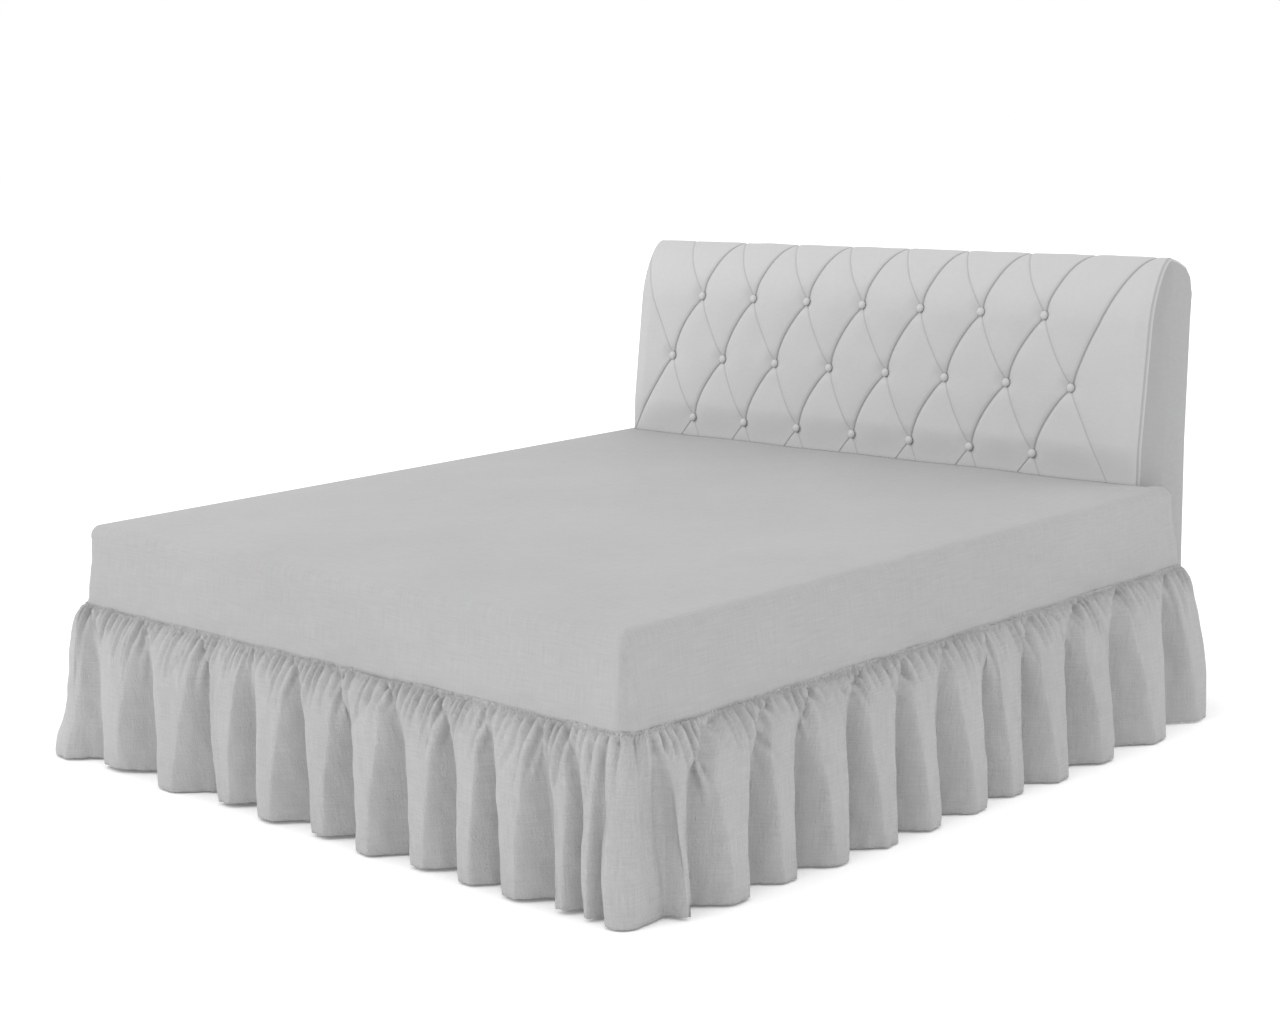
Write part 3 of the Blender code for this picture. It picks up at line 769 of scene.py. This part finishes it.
def length_round(run, out):
    """Metres round the bed, `out` metres outside the mattress edge, where the corners are longer."""
    round_left = np.clip(run - SIDE_RUN, 0.0, ARC_RUN)
    round_near = np.clip(run - SIDE_RUN - ARC_RUN - FOOT_RUN, 0.0, ARC_RUN)
    return run + (round_left + round_near) * out / CORNER_R


threads = np.linspace(strip_start, strip_end, 9001)
fold_index, hem_phase, seam_phase = places(threads)
# The slits between folds, and how far each thread starts from the nearest one
slit_off = np.minimum(seam_phase, 1.0 - seam_phase) * fold_table["width"][fold_index]
slit_deep = 0.4 + 0.6 * smooth((fold_table["depth"][fold_index] - 0.060) / 0.018)
# The mesh's columns are spread evenly along the frill's outside, whichever threads pass there
dense_run = np.linspace(0.0, OUTLINE_RUN, 4001)
dense_length = length_round(dense_run, 0.06)
even = np.linspace(0.0, dense_length[-1], 2 * FRILL_COLUMNS + 1)
stations = np.interp(even, dense_length, dense_run)
# Puckers crowd the seam, in two sizes that slant opposite ways like the strands of a rope, and
# longer gathers run down from it. They stand from low to low + more, in metres.
Pucker = namedtuple("Pucker", "slant low more line")
PUCKERS = (
    Pucker(0.25, 0.0022, 0.0034, gather_line(0.0070, 0.0115, 12)),
    Pucker(-0.20, 0.0012, 0.0020, gather_line(0.0042, 0.0070, 13)),
)
GATHER_LOW, GATHER_MORE = 0.0036, 0.0128
GATHER_CORNER = 0.20  # the gathers stand higher this far round the foot's corners
PINCH = 0.008
frill_gathers = gather_line(0.015, 0.040, 14)


def crease_heights(fall, run, cloth):
    """How far the puckers, gathers, creases and rumples stand off one row of the strip."""
    place = length_round(run, SEAM_OUT)
    total = 0.0 * run
    for pucker in PUCKERS:
        swell, height, _ = gathered(place + pucker.slant * fall, pucker.line)
        total += (pucker.low + pucker.more * height) * (swell - 0.6)
    total *= mix(0.8, 1.0, smooth(fall / 0.012)) * (1.0 - smooth((fall - 0.012) / 0.040))
    wander = 0.030 * fall * rumple(run, 0.0, 0.30, 21)
    swell, height, length = gathered(place + wander, frill_gathers)
    reach = 0.10 + 0.40 * length**2
    rise = smooth((fall + 0.004) / 0.026) * (1.0 - smooth((fall - 0.05) / reach))
    by_corner = np.exp(-(((run - NEAR_CORNER) / GATHER_CORNER) ** 2))
    by_corner += np.exp(-(((run - LEFT_CORNER) / GATHER_CORNER) ** 2))
    rise *= 1.0 + 0.5 * by_corner
    total += (GATHER_LOW + GATHER_MORE * height**1.4) * (swell**1.5 - 0.35) * rise
    # Each slit is pinched in below the seam
    pinch = smooth(fall / 0.03) * (1.0 - smooth((fall - 0.05) / 0.24))
    off = np.interp(cloth, threads, slit_off) / (0.008 + 0.03 * fall)
    total -= PINCH * np.interp(cloth, threads, slit_deep) * pinch * np.exp(-(off**2))
    for crease in CREASES:
        share = (fall - crease.top) / (crease.end - crease.top)
        if not 0.0 < share < 1.0:
            continue
        opened = smooth(share / 0.25) * (1.0 - smooth((share - 0.3) / 0.7))
        wide = crease.width * mix(0.6, 1.0, share)
        middle = mix(crease.place, crease.drop, share)
        total -= crease.depth * opened * np.exp(-(((run - NEAR_CORNER - middle) / wide) ** 2))
        if middle > 0.0:
            # The left side has the same creases as the right, the other way round
            total -= crease.depth * opened * np.exp(-(((run - LEFT_CORNER + middle) / wide) ** 2))
    total += 0.0020 * rumple(cloth, fall * 0.20, 0.075, 22) * smooth(fall / 0.25)
    total += 0.0008 * rumple(cloth, fall * 0.26, 0.028, 23) * smooth(fall / 0.10)
    hem_pull = 0.0012 * rumple(cloth, 0.0, 0.022, 24)
    return total + hem_pull * smooth((fall - 0.90) / 0.06)


def outward(grid):
    """Which way is out of the cloth's face, at each point of a grid that runs down and along it."""
    out = np.cross(np.gradient(grid, axis=0), np.gradient(grid, axis=1))
    return out / np.linalg.norm(out, axis=2, keepdims=True)


def cloth_rows(falls, stations):
    """Rows of the strip as they hang, with their creases, and the threads at each row's points."""
    rows = []
    heights = []
    row_threads = []
    for fall in falls:
        phase = mix(seam_phase, hem_phase, smooth(fall / EVEN_FALL))
        line, along = hanging(fold_index, phase, fall)
        run = mix(along[0], along[-1], stations / OUTLINE_RUN)
        rows.append(np.stack([np.interp(run, along, line[:, axis]) for axis in range(3)], axis=1))
        row_threads.append(np.interp(run, along, threads))
        heights.append(crease_heights(fall, run, row_threads[-1]))
    grid = np.stack(rows)
    return grid + outward(grid) * np.stack(heights)[..., None], row_threads


main_falls = np.linspace(0.052, 1.0, FRILL_ROWS)
seam_grid, seam_threads = cloth_rows(SEAM_ROWS, stations)
main_grid, main_threads = cloth_rows(main_falls, stations[::2])
# The hem isn't cut quite level
hem_wave = 0.0022 * rumple(main_threads[-1], 0.0, 0.12, 25)
hem_wave += 0.0010 * rumple(main_threads[-1], 0.0, 0.011, 26)
main_grid[..., 2] += (main_falls[:, None] ** 3) * np.abs(hem_wave)[None, :]
# The strip's raw edge goes up behind the drop, and its hem turns up inside
tucked = seam_grid[0] - TUCK_IN * outward(seam_grid)[0]
tucked[:, 2] = SEAM_Z + TUCK_UP
inside = -outward(main_grid)
turned = []
for inward, rise in ((0.0008, -0.0006), (0.0016, 0.0006), (0.0018, HEM_TURN)):
    row = main_grid[-1] + inward * inside[-1]
    row[:, 2] += rise
    turned.append(row)

points = np.concatenate([tucked, *seam_grid, *main_grid, *turned])
frill_fall = SEAM_Z - HEM_Z
flat_down = [-TUCK_UP] + [fall * frill_fall for fall in (*SEAM_ROWS, *main_falls)]
flat_down += [frill_fall + extra for extra in (0.001, 0.003, 0.003 + HEM_TURN)]
wide = len(stations)
narrow = len(stations[::2])
flat_u = [seam_threads[0]] + seam_threads + main_threads + [main_threads[-1]] * 3
flat = np.concatenate([np.stack([u, -v + 0.0 * u], axis=1) for u, v in zip(flat_u, flat_down)])
above = len(SEAM_ROWS) * wide
below = above + wide
faces = grid_faces(range(0, below, wide), wide, flip=True)
for i in range(narrow - 1):
    a, b, c = above + 2 * i, above + 2 * i + 1, above + 2 * i + 2
    d, e = below + i, below + i + 1
    faces += [(a, d, b), (b, d, e), (b, e, c)]
faces += grid_faces(range(below, below + (FRILL_ROWS + 3) * narrow, narrow), narrow, flip=True)


def frill_flat_places(mesh):
    """The strip as cut: metres along it, and metres down it."""
    return flat[[loop.vertex_index for loop in mesh.loops]]


frill_mesh = sheet_mesh("frill_cloth", points, faces, frill_flat_places)
frill_cotton = woven_cloth("frill_cotton", FRILL_LIT_COLOUR, 0.110, 0.00026, 0.0058, 0.00110)
frill = placed("frill_cloth", frill_mesh, frill_cotton)
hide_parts("frill")

# ---------------------------------------------------------------- mattress and base
# The mattress is a deep slab in a woven ticking and the base a plain box covered in upholstery
# cloth. Both are nearly hidden by the skirt, and keep the solids' own shapes.


def plain_cover(name, dark, light, thread, height):
    """A plain woven cover for a solid: threads, with darker and lighter stretches."""
    finish, tree, shader = new_finish(name, Specular_IOR_Level=0.3)
    where = put(tree, "TexCoord")
    # On an upright side the threads run along and down it
    split = put(tree, "SeparateXYZ", Vector=where.outputs["Object"])
    along = calc(tree, "ADD", split.outputs["X"], split.outputs["Y"])
    place = put(tree, "CombineXYZ", X=along, Y=split.outputs["Z"])
    threads = use_group(tree, weave, Cloth=place.outputs[0], Thread=thread, Relief=height)
    feed(
        tree,
        shader,
        Base_Color=between(tree, threads["Streaks"], dark, light),
        Roughness=calc(tree, "MULTIPLY_ADD", threads["Streaks"], 0.2, 0.7),
        Normal=relief(tree, threads["Height"]),
    )
    return finish


COVERS = (
    # solid, name of the cover, dark threads, light threads, thread's width, its height
    ("mattress", "mattress_ticking", (0.62, 0.61, 0.58), (0.80, 0.79, 0.76), 0.0016, 0.0002),
    ("bed_base", "base_cover", (0.32, 0.31, 0.30), (0.48, 0.47, 0.45), 0.0022, 0.0003),
)
for node, name, dark, light, thread, height in COVERS:
    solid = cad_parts[node]
    solid.data.materials.clear()
    solid.data.materials.append(
        plain_cover(name, tinted(dark, 1.0), tinted(light, 1.0), thread, height)
    )

# ---------------------------------------------------------------- headboard
# A tall padded board, covered in a smooth satin upholstery leathercloth that rolls back over the
# crest. The padding is drawn into shallow diamonds by pleats that run from button to button.

BOARD_LEFT, BOARD_RIGHT = -0.9715, 0.920
BOARD_FRONT = HALF + 0.0005
BOARD_BACK = 1.225
PAD_FRONT = 1.003
PAD_LEAN = 0.155
CREST_Y, CREST_Z = 1.160, 1.193
ROLL_START = 0.016
ROLL_FACE = 0.080
BUTTONS_X = -0.065
BUTTON_PITCH = 0.2143
ROW_STEP = 0.186
ROW_1_Z = 1.0355
PUFF = 0.0055
PUFF_ROUND = 0.030  # how far from a pleat the padding is nearly full
DIMPLE = 0.0075
DIMPLE_WIDE, DIMPLE_TALL = 0.026, 0.024
BOARD_EDGE_R = 0.008
BOARD_COLUMNS = 440
ROW_CELLS = 44  # mesh steps from one row of buttons to the next
BOLD_DEPTH = 0.0030
FAINT_DEPTH = 0.0014
PLEAT_HALF = 0.0048
SIDE_BULGE = 0.010
BOARD_COLOUR = (0.445, 0.445, 0.448)
BACK_LINE = (  # y, z
    (1.200, 1.188),
    (1.232, 1.172),
    (1.252, 1.146),
    (1.262, 1.100),
    (1.258, 1.020),
    (1.235, 0.700),
    (BOARD_BACK, 0.400),
    (BOARD_BACK, 0.0),
)


def pad_line(t):
    """The padded face's point and its outward direction, t metres below the first row of buttons."""
    z = ROW_1_Z - t
    if t > ROLL_START:
        out = Vector((0.0, -1.0, PAD_LEAN)).normalized()
        return Vector((0.0, PAD_FRONT + PAD_LEAN * (z - MATTRESS_TOP), z)), out
    # Above that the face rolls back over the crest, from its own slope to level
    start_z = ROW_1_Z - ROLL_START
    face_y = PAD_FRONT + PAD_LEAN * (start_z - MATTRESS_TOP)
    turns = [
        Vector((0.0, face_y, start_z)),
        Vector((0.0, face_y + PAD_LEAN * ROLL_FACE, start_z + ROLL_FACE)),
        Vector((0.0, CREST_Y - 0.032, CREST_Z - 0.003)),
        Vector((0.0, CREST_Y, CREST_Z)),
    ]
    share = min((ROLL_START - t) / (ROLL_START + ROW_STEP), 1.0)
    while len(turns) > 1:
        slope = turns[1] - turns[0] if len(turns) == 2 else None
        turns = [a.lerp(b, share) for a, b in zip(turns, turns[1:])]
    return turns[0], Vector((0.0, -slope.z, slope.y)).normalized()


def pleat_lines(across, row):
    """Counts off the pleats of both families: each is whole on a pleat. They bow between buttons."""
    above = smooth(-row / 0.4)
    between = np.abs(np.sin(math.pi * row))
    bold = across + row / 2.0
    bow = mix(0.082, 0.050, above) * between
    # The end pleats have no button in the first row or the last, and bow in one long sweep
    long_bow = 0.130 * np.sin(math.pi * np.clip(row + 1.0, 0.0, 2.0) / 2.0)
    long_bow += 0.10 * np.clip(-row, 0.0, 1.0) ** 2.2
    bow = mix(bow, long_bow, smooth((bold - 3.2) / 0.5) * (row < 1.0))
    low_bow = 0.055 * np.sin(math.pi * np.clip(row - 1.0, 0.0, 1.6) / 1.6)
    bow = mix(bow, low_bow, smooth((-2.3 - bold) / 0.5) * (row > 1.0))
    faint = across - row / 2.0
    faint_bow = mix(0.040, 0.085, above) * between
    edge_bow = -0.27 * np.clip(-row, 0.0, 1.0) ** 2.2
    faint_bow = mix(faint_bow, edge_bow, smooth((-3.3 - faint) / 0.5) * (row < 1.0))
    faint_bow = mix(faint_bow, 0.015, smooth((faint - 2.3) / 0.5) * (row > 1.0))
    return bold + bow, faint + faint_bow


def from_pleat(line, low, high):
    """Metres to the nearest pleat."""
    tilt = math.cos(math.atan2(BUTTON_PITCH / 2.0, ROW_STEP))
    return np.abs(line - np.clip(np.round(line), low, high)) * BUTTON_PITCH * tilt


def puff(x, t):
    """How far the padding stands out of its backing, 0 at a button."""
    row = t / ROW_STEP
    across = (x - BUTTONS_X) / BUTTON_PITCH
    bold_line, faint_line = pleat_lines(across, row)
    bold = from_pleat(bold_line, -3, 4)
    faint = from_pleat(faint_line, -4, 3)
    # Padding rises softly from each pleat, and the pleat itself is a narrow groove
    crown = (1.0 - np.exp(-bold / PUFF_ROUND)) * (1.0 - 0.6 * np.exp(-faint / PUFF_ROUND))
    nearest_row = np.round(row)
    shift = 0.5 * np.mod(nearest_row, 2.0)
    nearest = np.round(across - shift) + shift
    button_row = (nearest_row >= 0) & (nearest_row <= 2)
    aside = (across - nearest) * BUTTON_PITCH
    below = (row - nearest_row) * ROW_STEP
    inside = np.abs(nearest) <= np.where(shift > 0.0, 3.6, 3.1)
    # A button draws the padding in most on its upper left, where the pleats meet it
    dimple = np.exp(-(((aside + 0.006) / DIMPLE_WIDE) ** 2) - ((below + 0.004) / DIMPLE_TALL) ** 2)
    dimple = np.where(button_row & inside, dimple, 0.0)
    edge = smooth(np.minimum(x - BOARD_LEFT, BOARD_RIGHT - x) / 0.05)
    above_mattress = smooth((ROW_1_Z - t - MATTRESS_TOP - 0.004) / 0.100)
    over_crest = mix(1.0, 0.12, smooth(-t / ROW_STEP))
    fullness = DIMPLE * (1.0 - dimple) + PUFF * crown * edge * over_crest
    fullness -= BOLD_DEPTH * np.exp(-((bold / PLEAT_HALF) ** 2)) * edge
    fullness -= FAINT_DEPTH * np.exp(-((faint / PLEAT_HALF) ** 2)) * edge
    fullness += 0.0006 * rumple(x, t, 0.070, 31) * edge
    return fullness * above_mattress


edge_steps = np.linspace(0.0, 1.0, 5)[:-1]
edge_in = BOARD_EDGE_R * (1.0 - np.sin(edge_steps * math.pi / 2.0))
edge_inset = BOARD_EDGE_R * (1.0 - np.cos(edge_steps * math.pi / 2.0))
inner_x = np.linspace(BOARD_LEFT + BOARD_EDGE_R, BOARD_RIGHT - BOARD_EDGE_R, BOARD_COLUMNS)
board_x = np.concatenate([BOARD_LEFT + edge_inset, inner_x, BOARD_RIGHT - edge_inset[::-1]])
inset = np.concatenate([edge_in, 0.0 * inner_x, edge_in[::-1]])
board_rows = []
board_t = []
for z in (0.0, 0.25, MATTRESS_TOP - 0.12):
    board_rows.append(np.stack([board_x, BOARD_FRONT + inset, z + 0.0 * board_x], axis=1))
    board_t.append(ROW_1_Z - z)
last_cell = int((ROW_1_Z - MATTRESS_TOP + 0.02) / ROW_STEP * ROW_CELLS)
for cell in range(last_cell, -ROW_CELLS - 1, -1):
    t = cell * ROW_STEP / ROW_CELLS
    base, out = pad_line(t)
    rise = puff(board_x, t) - inset
    board_rows.append(np.stack([board_x, base.y + out.y * rise, base.z + out.z * rise], axis=1))
    board_t.append(t)
t = board_t[-1]
for (y, z), (y0, z0) in zip(BACK_LINE, ((CREST_Y, CREST_Z),) + BACK_LINE):
    t -= math.hypot(y - y0, z - z0)
    lowered = inset * smooth((z - 1.0) / 0.15)
    board_rows.append(np.stack([board_x, y - inset + lowered, z - lowered], axis=1))
    board_t.append(t)
count = len(board_x)
row_total = len(board_rows)
points = np.concatenate(board_rows)
cover_points = len(points)
faces = grid_faces([*range(0, row_total * count, count), 0], count)
# The side panels: each fills the board's section in rings towards its middle, and bulges a little
panel_points = []
for end, column in ((-1.0, 0), (1.0, count - 1)):
    rim = points[column:cover_points:count]
    middle_z = np.clip(rim[:, 2], 0.06, 1.12)
    middle = np.stack([rim[:, 0], 1.105 + 0.085 * (middle_z - 0.6), middle_z], axis=1)
    rings = [np.arange(row_total) * count + column]
    for share in (0.06, 0.14, 0.28, 0.46, 0.70, 1.0):
        ring = mix(rim, middle, share)
        full = SIDE_BULGE * math.sin(share * math.pi / 2.0)
        crumpled = 0.0030 * rumple(ring[:, 1], ring[:, 2], 0.075, 32) * (1.0 - share)
        ring[:, 0] += end * (full + crumpled * smooth(share / 0.4))
        rings.append(cover_points + len(panel_points) + np.arange(row_total))
        panel_points.extend(ring)
    for outer, inner in zip(rings, rings[1:]):
        for r in range(row_total):
            after = (r + 1) % row_total
            quad = (int(outer[r]), int(outer[after]), int(inner[after]), int(inner[r]))
            faces.append(quad if end > 0.0 else quad[::-1])
points = np.concatenate([points, np.array(panel_points)])


def board_flat_places(mesh):
    """The cover laid flat: x from the middle of the buttons, and metres below their first row."""
    places = []
    for polygon in mesh.polygons:
        side = any(v >= cover_points for v in polygon.vertices)
        for v in polygon.vertices:
            x, y, z = points[v]
            if side:
                places.append((2.0 + y, ROW_1_Z - z))
            else:
                places.append((x - BUTTONS_X, board_t[v // count]))
    return places


board_mesh = sheet_mesh("headboard_cover", points, faces, board_flat_places)
# The pleats' counts are kept beside the flat places, so that painted shade can be drawn along the pleats'
# grooves on them.
flat = np.empty(2 * len(board_mesh.loops), dtype=np.float32)
board_mesh.uv_layers["cloth"].data.foreach_get("uv", flat)
bold_line, faint_line = pleat_lines(flat[0::2] / BUTTON_PITCH, flat[1::2] / ROW_STEP)
on_face = (flat[0::2] < 1.5) & (flat[1::2] > -ROW_STEP - 0.02)
pleat_map = np.stack([np.where(on_face, bold_line, 9.5), np.where(on_face, faint_line, 9.5)], axis=1)
board_mesh.uv_layers.new(name="pleats").data.foreach_set("uv", pleat_map.astype(np.float32).ravel())
board_mesh.uv_layers["cloth"].active = True

# Leather grain: fine pebbles with soft wrinkles between them.
grain, taken, given = new_group(
    "leather_grain",
    (
        ("Place", "NodeSocketVector", None),
        ("Relief", "NodeSocketFloat", 0.00005),
    ),
    ("Height", "Patches"),
)
pebbles = put(grain, "TexVoronoi", Vector=stretched(grain, taken["Place"], 0.0016, 0.0016), Scale=1.0)
wrinkles = noise(grain, stretched(grain, taken["Place"], 0.020, 0.012), 4.0)
mixed = calc(grain, "MULTIPLY_ADD", wrinkles, 6.0, pebbles.outputs["Distance"])
plug(grain, given["Height"], calc(grain, "MULTIPLY", mixed, taken["Relief"]))
plug(grain, given["Patches"], wrinkles)


def near_line(tree, off, width):
    """A mask, 1 on a line and 0 from `width` metres off it."""
    mask = put(tree, "MapRange", Value=off, From_Min=width, From_Max=0.0)
    mask.interpolation_type = "SMOOTHSTEP"
    return mask.outputs["Result"]


def pleat_groove(tree, line, low, high, width):
    """A mask, 1 along the pleats of one family and 0 between them."""
    nearest = calc(tree, "MINIMUM", calc(tree, "MAXIMUM", calc(tree, "ROUND", line), low), high)
    off = calc(tree, "ABSOLUTE", calc(tree, "SUBTRACT", line, nearest))
    tilt = math.cos(math.atan2(BUTTON_PITCH / 2.0, ROW_STEP))
    return near_line(tree, calc(tree, "MULTIPLY", off, BUTTON_PITCH * tilt), width)


satin, tree, shader = new_finish("headboard_leathercloth", Specular_IOR_Level=0.30)
place = put(tree, "UVMap")
place.uv_map = "cloth"
lines = put(tree, "UVMap")
lines.uv_map = "pleats"
split = put(tree, "SeparateXYZ", Vector=lines.outputs[0])
bold = pleat_groove(tree, split.outputs["X"], -3.0, 4.0, 0.0042)
faint = calc(tree, "MULTIPLY", pleat_groove(tree, split.outputs["Y"], -4.0, 3.0, 0.0036), 0.50)
# The seams where the cover's front is joined to its side panels
spot = put(tree, "SeparateXYZ", Vector=place.outputs[0])
seams = []
for edge in (BOARD_LEFT + 0.005 - BUTTONS_X, BOARD_RIGHT - 0.005 - BUTTONS_X):
    off = calc(tree, "ABSOLUTE", calc(tree, "SUBTRACT", spot.outputs["X"], edge))
    seams.append(near_line(tree, off, 0.0040))
seam = calc(tree, "MULTIPLY", calc(tree, "MAXIMUM", *seams), 0.65)
pleats = calc(tree, "MAXIMUM", calc(tree, "MAXIMUM", bold, faint), seam)
skin = use_group(tree, grain, Place=place.outputs[0])
# Painted shade: the pleats' grooves are painted darker; the seams are darker joints, and the wrinkles
# give a patchy tone.
mottle_seams_and_pleat_shade = calc(tree, "MULTIPLY_ADD", skin["Patches"], 0.10, calc(tree, "MULTIPLY", pleats, 0.80))
# The side panels are painted darker than the front, as painted shade on the board's sides.
panel_shade = calc(tree, "MULTIPLY", calc(tree, "GREATER_THAN", spot.outputs["X"], 1.5), 0.62)
feed(
    tree,
    shader,
    Base_Color=between(
        tree, calc(tree, "ADD", mottle_seams_and_pleat_shade, panel_shade), tinted(BOARD_COLOUR, 1.0), tinted(BOARD_COLOUR, 0.55)
    ),
    Roughness=calc(tree, "MULTIPLY_ADD", skin["Patches"], 0.18, 0.42),
    Normal=relief(tree, calc(tree, "MULTIPLY_ADD", pleats, -0.0014, skin["Height"])),
)
board = placed("headboard_cover", board_mesh, satin)
board.data.set_sharp_from_angle(angle=math.radians(60))
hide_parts("headboard")

# ---------------------------------------------------------------- buttons
# Twenty-two upholstery buttons, covered in the headboard's own leathercloth and pulled into the
# padding where the pleats cross: seven, eight and seven.

BUTTON_SIDES = 28
BUTTON_PROFILE = (
    # radius, height
    (0.0086, 0.0020),
    (0.0110, 0.0036),
    (0.0122, 0.0052),
    (0.0124, 0.0066),
    (0.0119, 0.0082),
    (0.0104, 0.0098),
    (0.0080, 0.0110),
    (0.0050, 0.0118),
    (0.0020, 0.0121),
)

button_finish, tree, shader = new_finish("button_leathercloth", Specular_IOR_Level=0.35)
where = put(tree, "TexCoord")
skin = use_group(tree, grain, Place=where.outputs["Object"])
feed(
    tree,
    shader,
    Base_Color=between(tree, skin["Patches"], tinted(BOARD_COLOUR, 0.97), tinted(BOARD_COLOUR, 1.05)),
    Roughness=calc(tree, "MULTIPLY_ADD", skin["Patches"], 0.18, 0.36),
    Normal=relief(tree, skin["Height"]),
)

for row, count in enumerate((7, 8, 7)):
    for i in range(count):
        x = BUTTONS_X + (i - (count - 1) / 2.0) * BUTTON_PITCH
        base, out = pad_line(row * ROW_STEP)
        turn = out.to_track_quat("Z", "Y").to_matrix().to_4x4()
        turn.translation = (x, base.y, base.z)
        bm = bmesh.new()
        rings = []
        for radius, height in BUTTON_PROFILE:
            ring = []
            for step in range(BUTTON_SIDES):
                angle = 2.0 * math.pi * step / BUTTON_SIDES
                pull = 1.0 + 0.012 * math.cos(7.0 * angle + i)
                spot = Vector((radius * pull * math.cos(angle), radius * pull * math.sin(angle), height))
                ring.append(bm.verts.new(turn @ spot))
            rings.append(ring)
        for lower, upper in zip(rings, rings[1:]):
            for step in range(BUTTON_SIDES):
                after = (step + 1) % BUTTON_SIDES
                bm.faces.new((lower[step], lower[after], upper[after], upper[step]))
        bm.faces.new(rings[-1])
        bm.faces.new(list(reversed(rings[0])))
        mesh = bpy.data.meshes.new(f"covered_button_{row + 1}_{i + 1}")
        bm.to_mesh(mesh)
        bm.free()
        mesh.shade_smooth()
        button = placed(f"covered_button_{row + 1}_{i + 1}", mesh, button_finish)
        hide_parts(f"button_{row + 1}_{i + 1}")

# ---------------------------------------------------------------- last update
# The scene is brought up to date once its pieces are all made.

bpy.context.view_layer.update()
